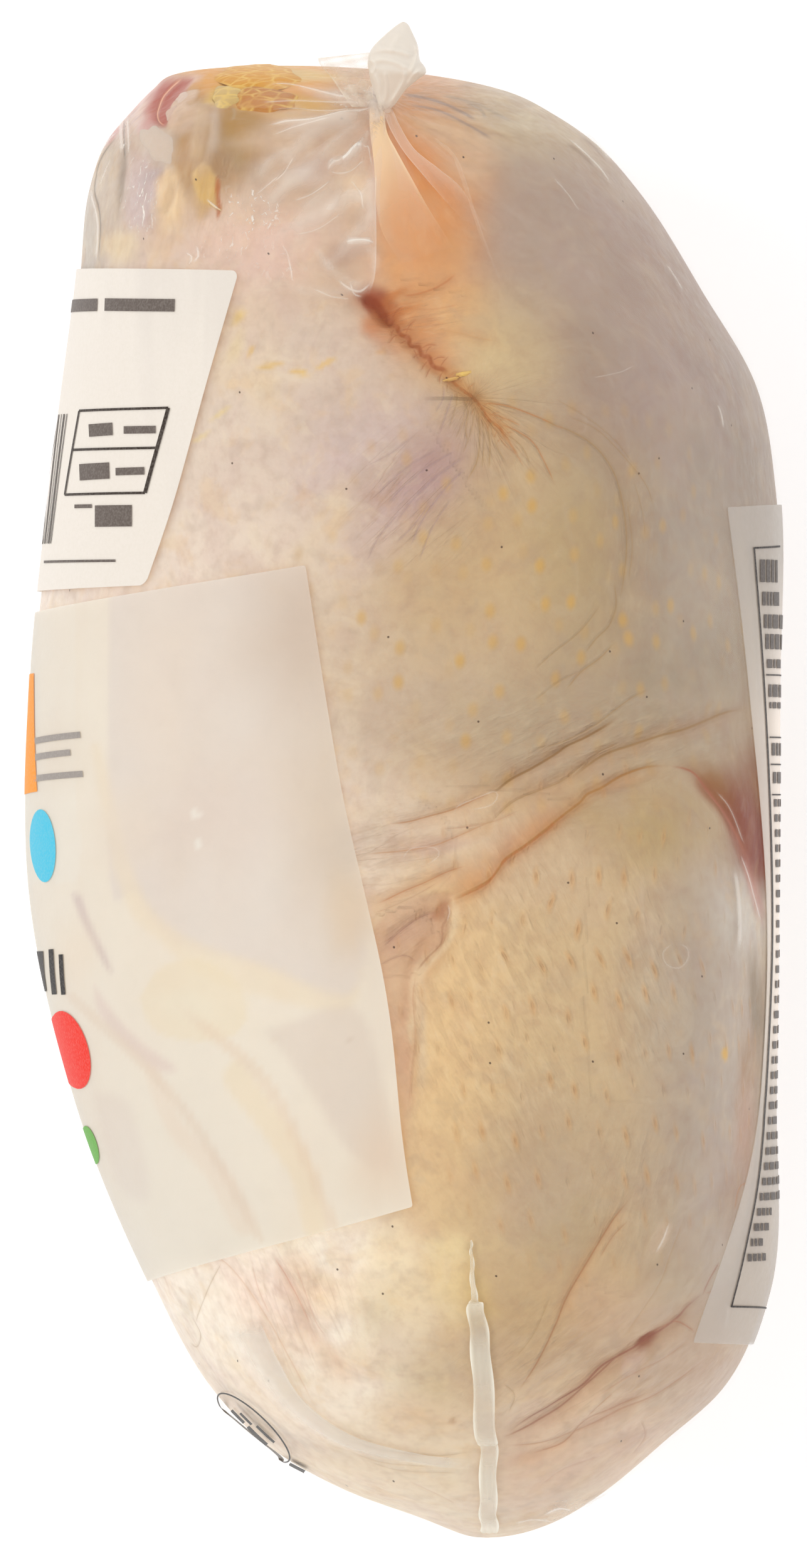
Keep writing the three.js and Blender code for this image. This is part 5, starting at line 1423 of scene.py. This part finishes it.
def make_flap():
    """The loose web of film beside the knot, rippled, standing a little off the bag."""
    left = through(from_picture([(508, 101), (512, 112), (530, 132), (546, 156), (562, 178)]), 12)
    right = through(from_picture([(590, 92), (592, 108), (592, 130), (594, 152), (598, 178)]), 12)
    across = np.linspace(0, 1, 50)
    x, y = between_lines(left, right, across)
    along = np.linspace(0, 1, len(left))[:, None]
    ripple = 0.13 * np.sin(26 * along + 5 * across[None, :]) + 0.1 * np.sin(15 * across[None, :] - 6 * along)
    top = KNOT_ROOT + 2.6 - 1.6 * along
    down = over_film(x, np.minimum(y, 112), np.full(x.shape, 0.9))[..., 2]
    z = np.maximum(top * (1 - along ** 2) + down * along ** 2, down) + ripple
    place = np.stack([x, y, z], -1)
    piece = new_piece("bag_flap", place.reshape(-1, 3), grid_faces(*x.shape),
                      film_material("bag_film_flap", (238, 226, 206), 0.15, 0.5))
    edge = np.minimum(np.minimum(across, 1 - across)[None, :] * 3, along * 2)
    # cloudier on the ripples' crests and clearer in their troughs, a painted sheen, and cloudier along the
    # edges
    milk = 0.32 + 0.8 * ripple + 0.3 * np.exp(-((edge / 0.08) ** 2))
    point_values(piece, "milk", np.clip(milk, 0, 0.85).ravel())


# Bands of doubled film: left and right edge in picture pixels, how cloudy the band is inside and at its
# left and right edge, over what share of it it fades at its far end, and its colour. Where an edge's value
# is negative, the band clears towards that edge.
BANDS = {
    "film_band_left": ([(590, 176), (590, 215), (597, 275), (600, 330), (610, 380), (640, 430)],
                       [(612, 180), (617, 219), (631, 248), (655, 292), (684, 344), (722, 404)],
                       (0.85, 0.0, 0.4), 0.75, (250, 216, 172)),
    "film_band_right": ([(611, 184), (622, 215), (643, 251), (668, 282), (700, 320), (735, 360)],
                        [(624, 180), (640, 215), (662, 249), (700, 280), (736, 312), (775, 380)],
                        (0.4, 0.35, 0.45), 0.6, (240, 208, 184)),
    "film_band_outer": ([(690, 232), (718, 257), (728, 280), (745, 330), (765, 390), (790, 450)],
                        [(694, 230), (724, 256), (740, 292), (756, 347), (775, 400), (797, 458)],
                        (0.16, 0.0, 0.45), 0.4, (232, 200, 170)),
    "film_patch": ([(560, 205), (520, 235), (470, 275), (430, 330), (415, 390), (440, 450), (500, 490)],
                   [(604, 200), (600, 240), (598, 275), (599, 340), (600, 400), (598, 450), (590, 478)],
                   (0.17, -0.3, 0.2), 0.15, (234, 214, 196)),
    "film_band_neck": ([(362, 2108), (378, 2150), (455, 2247), (562, 2306), (691, 2330), (748, 2334)],
                       [(417, 2098), (446, 2160), (487, 2226), (562, 2280), (670, 2310), (748, 2318)],
                       (0.4, -1, 0.1), 0.15, (226, 220, 210)),
}


def make_band(name, left, right, clouds, fading, colour):
    left, right = through(from_picture(left), 14), through(from_picture(right), 14)
    across = np.array([0, 0.015, 0.03, 0.06, 0.1, 0.2, 0.35, 0.5, 0.65, 0.8, 0.9, 0.94, 0.97, 0.985, 1.0])
    x, y = between_lines(left, right, across)
    along = np.linspace(0, 1, len(left))[:, None]
    wave = 0.12 * np.sin(9 * across[None, :] + 7 * along) + 0.08 * np.sin(23 * along + 5 * across[None, :])
    place = over_film(x, y, 0.22 + (0.3 + wave) * np.sin(np.pi * across)[None, :])
    inside, at_left, at_right = clouds
    near_left, near_right = (np.exp(-((share / 0.05) ** 2)) for share in (across, 1 - across))
    milk = inside * (1 - (at_left < 0) * (1 - smoothstep(across, 0, 0.5)))
    milk = milk * (1 - (at_right < 0) * smoothstep(across, 0.6, 1))
    milk = milk + max(at_left, 0) * near_left + max(at_right, 0) * near_right
    milk = milk[None, :] * (1 - smoothstep(along, 1 - fading, 1)) * smoothstep(along, -0.01, 0.08)
    piece = new_piece(name, place.reshape(-1, 3), grid_faces(*x.shape),
                      film_material(name, colour, 0.14, 0.2))
    point_values(piece, "milk", milk.ravel())
    piece.visible_shadow = False


SEAL_LINE = [(10.8, -71.8), (10.9, -75), (11.3, -81), (11.5, -82.4), (12.4, -90), (13.1, -103),
    (13.6, -105),
             (13.5, -114), (13.8, -118.6)]
SEAL_HALF_WIDTHS = [0.1, 0.25, 0.5, 1.35, 1.6, 1.7, 1.4, 1.4, 1.4]


def make_seal():
    line = through(SEAL_LINE, 20)
    share = np.linspace(0, 1, len(line))
    half = np.interp(share * (len(SEAL_HALF_WIDTHS) - 1), np.arange(len(SEAL_HALF_WIDTHS)), SEAL_HALF_WIDTHS)
    across = np.linspace(-1, 1, 17)
    x = line[:, :1] + half[:, None] * across[None, :]
    x = x + 0.15 * np.sin(share * 60)[:, None] * (np.abs(across) > 0.9)[None, :]
    y = line[:, 1:2] + 0 * x
    ribs = 0.06 * np.cos(across * 9)[None, :] + 0.03 * np.sin(share * 150)[:, None]
    inner = over_film(x, y, 0.15 + 0 * x)
    outer = over_film(x, y, 0.62 - 0.25 * across[None, :] ** 6 + ribs)
    points, faces = sheet_solid(inner, outer - inner, 1.0)
    piece = new_piece("bag_seal", points, faces,
                      film_material("bag_film_sealed", (255, 250, 234), 0.1, 0.5))
    cloud = 0.24 + 0.6 * np.abs(across[None, :]) ** 8 + 0.1 * np.sin(share * 40)[:, None] + 0 * x
    rim = (len(points) - 2 * cloud.size) * [0.8]
    point_values(piece, "milk", np.concatenate([cloud.ravel(), cloud.ravel(), rim]))


# ---------- labels ----------

LABEL_DIP = 2                # how a label's cut ends bend from its edge to the rim, as an exponent
LABEL_RADIUS = 62.0          # of the pack's rings under the labels, by which their corners are rounded
# Labels: the rim they run over, how far they go on below it as a share of their upper part, the edge on
# the upper side, where their ends meet the rim as two y, and the radius of their corners
LABELS = {
    "price_label": ("breast", 0.75, [(-25.8, 81), (-31, 63), (-36, 45), (-40.6, 31.4)], (82, 30.7), 1.4),
    "front_label": ("breast", 0.7, [(-15.3, 34.5), (-9.8, 0), (-2.8, -32), (0, -55.8), (1.6, -66.6)],
                    (27.3, -79.2), 0.4),
    "back_label": ("back", 1.0, [(51.3, 43.8), (54.3, 19), (57.4, -16.4), (57, -43), (54.3, -62.5),
                                 (45.9, -88.4)], (44.5, -89.2), 0.4),
}
LABEL_GAP = 0.1
LABEL_THICKNESS = 0.08


def label_sheet(name, rows, columns):
    """The grid of a label's points and normals on the film, with rounded corners."""
    side, under_share, edge, rim, corner = LABELS[name]
    rim_angle = 0.0 if side == "back" else math.pi
    dense = through(edge, 40)
    length = np.concatenate([[0], np.cumsum(np.hypot(*np.diff(dense, axis=0).T))])
    inset = np.array([0, 0.03, 0.1, 0.22, 0.4, 0.62, 0.85, 1.0]) * corner / length[-1]
    share = np.unique(np.concatenate([inset, np.linspace(inset[-1], 1 - inset[-1], rows), 1 - inset]))
    edge_x, edge_y = (np.interp(share * length[-1], length, dense[:, k]) for k in (0, 1))
    rim_y = rim[0] + (rim[1] - rim[0]) * share
    upper = angle_at(latitude(edge_y), edge_x) - rim_angle
    from_end = np.minimum(share, 1 - share) * length[-1]
    cut = corner - np.sqrt(np.maximum(0, corner ** 2 - np.maximum(0, corner - from_end) ** 2))
    u = np.linspace(1, -under_share, columns)
    u = u[None, :] * (1 - cut / (LABEL_RADIUS * np.abs(upper)))[:, None]
    phi = latitude(rim_y[:, None] + (edge_y - rim_y)[:, None] * np.abs(u) ** LABEL_DIP)
    return phi, rim_angle + upper[:, None] * u


def make_label(name, rows, columns, material):
    phi, angle = label_sheet(name, rows, columns)
    normal = film_normal(phi, angle)
    points, faces = sheet_solid(film_point(phi, angle) + normal * LABEL_GAP, normal, LABEL_THICKNESS)
    piece = new_piece(name + "_sheet", points, faces, material)
    x, y, z = points.T
    shown = np.ones(points.shape)
    cover = np.full(len(points), 0.6)
    if name == "front_label":
        plain = linear(255, 250, 240)
        shown = shown * plain
        flat = np.zeros(len(points))
        add_patches(LABEL_PATCHES, x, y, flat, shown, flat + 1, linear)
        add_spots(LABEL_SPOTS, x, y, flat, shown, flat + 1, linear)
        shown = np.where(z[:, None] > MID_PLANE, shown, plain)
    if name == "back_label":
        # painted light and shade: whiter towards the rim and dimmer towards both ends; less clear towards
        # the rim
        rim = np.interp(x, [54, 58, 60], [0, 0.28, 0.6]) * np.interp(y, [-58, -40, 10, 36], [0, 1, 1, 0])
        dim = np.interp(y, [-86, -60, -20, 10, 36], [0.88, 0.94, 1, 0.94, 0.8])
        shown = shown * ((0.71 + rim) * dim)[:, None] * linear(255, 251, 246)
        cover = np.interp(x, [44, 52, 56, 58, 60], [0.38, 0.4, 0.42, 0.5, 0.75])
    cover[2 * phi.size:] = 0.05     # the sheet's thin rim
    point_colours(piece, "tint", shown)
    point_values(piece, "cover", cover)
    piece.visible_shadow = False
    piece.visible_diffuse = name != "back_label"
    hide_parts(name)


PRINT_RISE = LABEL_GAP + LABEL_THICKNESS + 0.12
# What shows through the front label, as patches and soft spots on it
LABEL_PATCHES = [
    ([(123, 940), (123, 1240), (126, 1400), (0, 1400), (0, 940)], 0.3, (255, 254, 248), 0.5, 0),
    ([(178, 930), (500, 900), (520, 1100), (560, 1300), (586, 1500), (550, 1590), (420, 1540), (280, 1500),
      (220, 1420), (178, 1400)], 0.5, (246, 240, 236), 0.9, 0),
    ([(580, 1530), (556, 1606), (440, 1590), (330, 1556), (262, 1500), (200, 1430), (150, 1200),
      (166, 1200), (220, 1400), (290, 1486), (420, 1534), (550, 1582)], 0.8, (255, 244, 222), 0.6, 0),
    ([(225, 1590), (260, 1540), (320, 1526), (380, 1560), (398, 1610), (370, 1650), (310, 1656),
      (250, 1640)], 0.4, (255, 244, 218), 0.55, 0),
    ([(430, 1640), (560, 1600), (606, 1700), (622, 1850), (560, 1830), (500, 1740)],
     1.0, (242, 232, 224), 0.65, 0),
    ([(380, 1680), (440, 1760), (500, 1850), (520, 1960), (490, 1960), (470, 1880), (420, 1800),
      (360, 1720)], 0.6, (255, 242, 216), 0.6, 0),
    ([(250, 1680), (290, 1780), (360, 1850), (410, 1940), (380, 1960), (330, 1870), (270, 1800),
      (236, 1710)], 0.6, (253, 240, 226), 0.6, 0),
    ([(118, 1425), (134, 1470), (166, 1530), (182, 1548), (168, 1510), (146, 1466), (132, 1428)],
     0.5, (232, 218, 216), 0.9, 0),
    ([(154, 1570), (190, 1620), (230, 1660), (284, 1700), (250, 1700), (200, 1660), (160, 1610)],
     0.7, (246, 232, 226), 0.9, 0),
    ([(150, 1740), (210, 1760), (240, 1900), (200, 1900), (170, 1830)], 1.2, (248, 240, 232), 0.8, 0),
    ([(300, 1600), (420, 1700), (480, 1800), (540, 1950), (528, 1956), (466, 1810), (406, 1712),
      (292, 1612)], 0.3, (248, 230, 210), 0.5, 0),
    ([(120, 1580), (240, 1690), (330, 1800), (420, 1960), (408, 1966), (320, 1812), (230, 1702),
      (112, 1594)], 0.3, (246, 230, 214), 0.5, 0),
]
LABEL_SPOTS = [
    ((500, 1010), (110, 150), 0, 0.9, (232, 218, 206), 0.9, 0),
    ((350, 1290), (130, 90), 20, 0.9, (244, 234, 228), 0.6, 0),
    ((540, 1300), (90, 240), 0, 0.9, (238, 224, 208), 0.8, 0),
    ((260, 1100), (60, 160), 0, 0.9, (252, 244, 236), 0.6, 0),
    ((560, 1450), (40, 70), 0, 0.8, (242, 224, 202), 0.8, 0),
    ((315, 1297), (10, 7), 0, 0.4, (255, 255, 252), 1.0, 0),
    ((318, 1345), (7, 10), 20, 0.4, (255, 255, 252), 1.0, 0),
    ((300, 1600), (60, 24), -10, 0.6, (255, 250, 234), 0.6, 0),
    ((443, 1657), (5, 4), 0, 0.5, (228, 176, 110), 0.9, 0),
    ((563, 1652), (4, 5), 0, 0.5, (170, 120, 90), 0.9, 0),
    ((120, 1520), (40, 60), 0, 0.9, (255, 244, 228), 0.6, 0),
    ((200, 1320), (50, 70), 0, 0.9, (252, 242, 230), 0.6, 0),
    ((610, 1840), (50, 80), 0, 0.9, (250, 232, 214), 0.6, 0),
    ((100, 1200), (60, 60), 0, 0.9, (250, 242, 230), 0.5, 0),
]


def past_rims(x, y):
    """Ring positions and angles of points that may run past either rim, on to the underside."""
    phi = latitude(y)
    breast, back = breast_outline(phi), back_outline(phi)
    angle = angle_at(phi, np.where(x < breast, 2 * breast - x, np.where(x > back, 2 * back - x, x)))
    return phi, np.where(x < breast, 2 * math.pi - angle, np.where(x > back, -angle, angle))


def printed_quads(quads, cell=1.5):
    """Flat patches of print between four corners each, in picture pixels, laid on a label."""
    points, faces = [], []
    for corners in quads:
        phi, angle = past_rims(*from_picture(corners).T)
        a, b, c, d = film_point(phi, angle)
        wide = max(2, int(max(np.linalg.norm(b - a), np.linalg.norm(c - d)) / cell) + 2)
        tall = max(2, int(max(np.linalg.norm(d - a), np.linalg.norm(c - b)) / cell) + 2)
        s, t = np.meshgrid(np.linspace(0, 1, wide), np.linspace(0, 1, tall))
        rings, turns = ((v[0] * (1 - s) + v[1] * s) * (1 - t) + (v[3] * (1 - s) + v[2] * s) * t
                        for v in (phi, angle))
        place = film_point(rings, turns) + film_normal(rings, turns) * PRINT_RISE
        faces += grid_faces(tall, wide, first=sum(len(p) for p in points))
        points.append(place.reshape(-1, 3))
    return np.vstack(points), faces


def stroke(start, end, width):
    """The four corners of a straight printed line."""
    a, b = np.array(start, float), np.array(end, float)
    along = (b - a) / np.linalg.norm(b - a)
    side = np.array([-along[1], along[0]]) * width / 2
    return [tuple(a + side), tuple(b + side), tuple(b - side), tuple(a - side)]


def disc(middle, half_wide, half_tall, turn, steps=16):
    """Strips that fill an oval, turned by some degrees."""
    angles = np.linspace(-math.pi / 2, math.pi / 2, steps + 1)

    def corner(side, angle):
        u, v = turned(side * half_wide * math.cos(angle), half_tall * math.sin(angle), -turn)
        return (middle[0] + u, middle[1] + v)

    return [[corner(-1, a), corner(1, a), corner(1, b), corner(-1, b)]
            for a, b in zip(angles[:-1], angles[1:])]


def print_piece(name, quads, colour):
    points, faces = printed_quads(quads)
    piece = new_piece(name, points, faces, ink_material(name + "_ink", colour))
    piece.visible_shadow = False


THICKEST_RULE = 4
# Rows of the back label's print: picture row and height in pixels; the thinnest are rules
BACK_ROWS = [
    (912, 36), (956, 22), (992, 22), (1024, 24), (1059, 14), (1077, 2.4), (1102, 20), (1125, 10),
    (1176, 2.4), (1195, 20), (1219, 2.4), (1240, 18), (1267, 2.4),
]


def make_prints():
    frame_lines = [stroke(*ends) for ends in [
        ((131, 658), (274, 656), 4), ((274, 656), (237, 790), 6), ((237, 790), (108, 791), 4),
        ((108, 791), (131, 658), 2.6), ((120, 720), (255, 719), 4)]]
    bars = [stroke(*ends) for ends in [
        ((147, 690), (185, 688), 20), ((203, 690), (254, 690), 12), ((132, 756), (180, 754), 26),
        ((190, 756), (236, 755), 12), ((124, 810), (152, 810), 6), ((157, 826), (216, 826), 34),
        ((74, 897), (190, 897), 4), ((112, 488), (160, 490), 20), ((172, 490), (284, 494), 20)]]
    stripes = [stroke((111 - 4.6 * i, 662), (85 - 3.4 * i, 868), (1.2, 2.2, 1.0, 1.6)[i % 4])
               for i in range(10)]
    print_piece("price_label_frame", frame_lines, (58, 48, 42))
    print_piece("price_label_bars", bars, (104, 94, 88))
    print_piece("price_label_stripes", stripes, (76, 68, 64))
    front = {
        "front_label_bar_warm": ([[(34, 1078), (58, 1074), (64, 1262), (42, 1268)]], (252, 150, 0)),
        "front_label_bars_grey": ([stroke((60, 1182), (134, 1172), 10), stroke((60, 1208), (118, 1200), 10),
                                   stroke((58, 1242), (138, 1234), 10)], (158, 150, 144)),
        "front_label_disc_blue": (disc((73, 1348), 21, 58, -4), (70, 196, 226)),
        "front_label_bars_dark": ([stroke((67, 1516), (72, 1580), 12), stroke((86, 1512), (91, 1584), 8),
                                   stroke((102, 1520), (106, 1584), 7)], (30, 26, 26)),
        "front_label_disc_red": (disc((116, 1672), 30, 64, -16), (240, 34, 0)),
        "front_label_disc_green": (disc((148, 1824), 11, 32, -16), (96, 172, 56)),
    }
    for name, (quads, colour) in front.items():
        print_piece(name, quads, colour)
    ring = through([(407 + 55 * math.cos(a) - 16 * math.sin(a), 2272 + 53 * math.cos(a) + 16.5 * math.sin(a))
                    for a in np.linspace(0, 2 * math.pi, 33)], 2)
    stamp = [stroke(a, b, 2.6) for a, b in zip(ring[:-1], ring[1:])]
    stamp += [stroke(*ends) for ends in [
        ((372, 2244), (392, 2264), 5), ((386, 2248), (404, 2266), 4), ((398, 2270), (428, 2299), 6),
        ((412, 2268), (440, 2294), 4), ((464, 2330), (488, 2342), 6)]]
    print_piece("bag_stamp", stamp, (84, 82, 80))
    back_frame = [(1197, 875), (1211, 1060), (1221, 1250), (1226, 1450), (1222, 1620), (1207, 1850),
                  (1182, 1990), (1161, 2078)]
    side = through(back_frame, 4)
    lines = [stroke(a, b, 2.4) for a, b in zip(side[:-1], side[1:])]
    lines += [stroke((1197, 876), (1240, 872), 3), stroke((1161, 2077), (1219, 2084), 3)]
    rows = []
    chance = np.random.default_rng(5)
    for row, tall in BACK_ROWS + [(1280 + 24 * k, 12) for k in range(31)]:
        start = np.interp(row, side[:, 1], side[:, 0]) + 7
        if tall < THICKEST_RULE:
            lines.append(stroke((start - 3, row), (start + 30, row), tall))
            continue
        end = start + chance.uniform(16, 34)
        while start < end:
            word = chance.uniform(3, 9)
            rows.append(stroke((start, row), (start + word, row), tall))
            start += word + 2.2
    print_piece("back_label_frame", lines, (60, 54, 52))
    print_piece("back_label_rows", rows, (96, 88, 84))


# ---------- studio ----------

PICTURE_HEIGHT = 0.25        # metres of the object that fill the picture at its middle plane
FOCAL_LENGTH = 800
SENSOR = 36


def make_studio():
    mesh = bpy.data.meshes.new("studio_floor")
    half = 20.0
    mesh.from_pydata([(-half, -half, 0), (half, -half, 0), (half, half, 0), (-half, half, 0)], [],
                     [(0, 1, 2, 3)])
    floor = bpy.data.objects.new("studio_floor", mesh)
    bpy.context.scene.collection.objects.link(floor)
    s = Shader("studio_floor")
    paint = s.node("ShaderNodeBsdfPrincipled", Base_Color=tone(240, 242, 246), Roughness=0.9,
                   Emission_Color=(1, 1, 1, 1), Emission_Strength=0.36)
    mesh.materials.append(s.finish(paint))

    world = bpy.data.worlds.new("studio")
    world.use_nodes = True
    sky = world.node_tree.nodes["Background"].inputs
    sky["Color"].default_value = (1.0, 0.99, 0.975, 1)
    sky["Strength"].default_value = 0.68
    bpy.context.scene.world = world

    for name, place, size, power, colour in [
            ("key", (-1.0, 0.12, 1.5), (0.9, 0.9), 9.2, (1, 0.985, 0.96)),
            ("fill", (0.8, 0.35, 1.5), (0.7, 0.7), 4.2, (0.97, 0.98, 1.0)),
            ("glint_right", (1.2, 0.1, 1.0), (0.5, 0.05), 0.09, (1, 1, 1))]:
        light = bpy.data.lights.new(name, "AREA")
        light.shape = "RECTANGLE"
        light.size, light.size_y = size
        light.energy = power
        light.color = colour
        lamp = bpy.data.objects.new(name, light)
        lamp.location = place
        lamp.rotation_euler = (Vector((0, 0, 0.07)) - lamp.location).to_track_quat("-Z", "Y").to_euler()
        lamp.visible_camera = False
        lamp.visible_glossy = size[1] < 0.3
        bpy.context.scene.collection.objects.link(lamp)

    camera_data = bpy.data.cameras.new("camera")
    camera_data.lens = FOCAL_LENGTH
    camera_data.sensor_width = SENSOR
    camera_data.clip_start = 0.5
    camera_data.clip_end = 60
    camera = bpy.data.objects.new("camera", camera_data)
    camera.location = (0.0001, 0, MID_PLANE * MM + PICTURE_HEIGHT * FOCAL_LENGTH / SENSOR)
    bpy.context.scene.collection.objects.link(camera)
    bpy.context.scene.camera = camera
    bpy.context.scene.view_settings.view_transform = "Standard"
    bpy.context.scene.view_settings.look = "None"


make_studio()
make_bird()
make_lumps("fat_lobes", FAT_LUMPS, lump_material("raw_fat", 0.1, 0.65))
make_lumps("hock_cartilage", CARTILAGE_LUMPS, lump_material("raw_cartilage", 0.15, 0.0))
make_film()
make_knot()
make_flap()
for band_name, band in BANDS.items():
    make_band(band_name, *band)
make_seal()
make_label("price_label", 44, 60, paper_material())
make_label("front_label", 130, 150, frosted_material("frosted_label", (240, 238, 233), (238, 232, 224)))
make_label("back_label", 80, 50, frosted_material("frosted_back_label", (250, 241, 232), (243, 233, 224)))
make_prints()
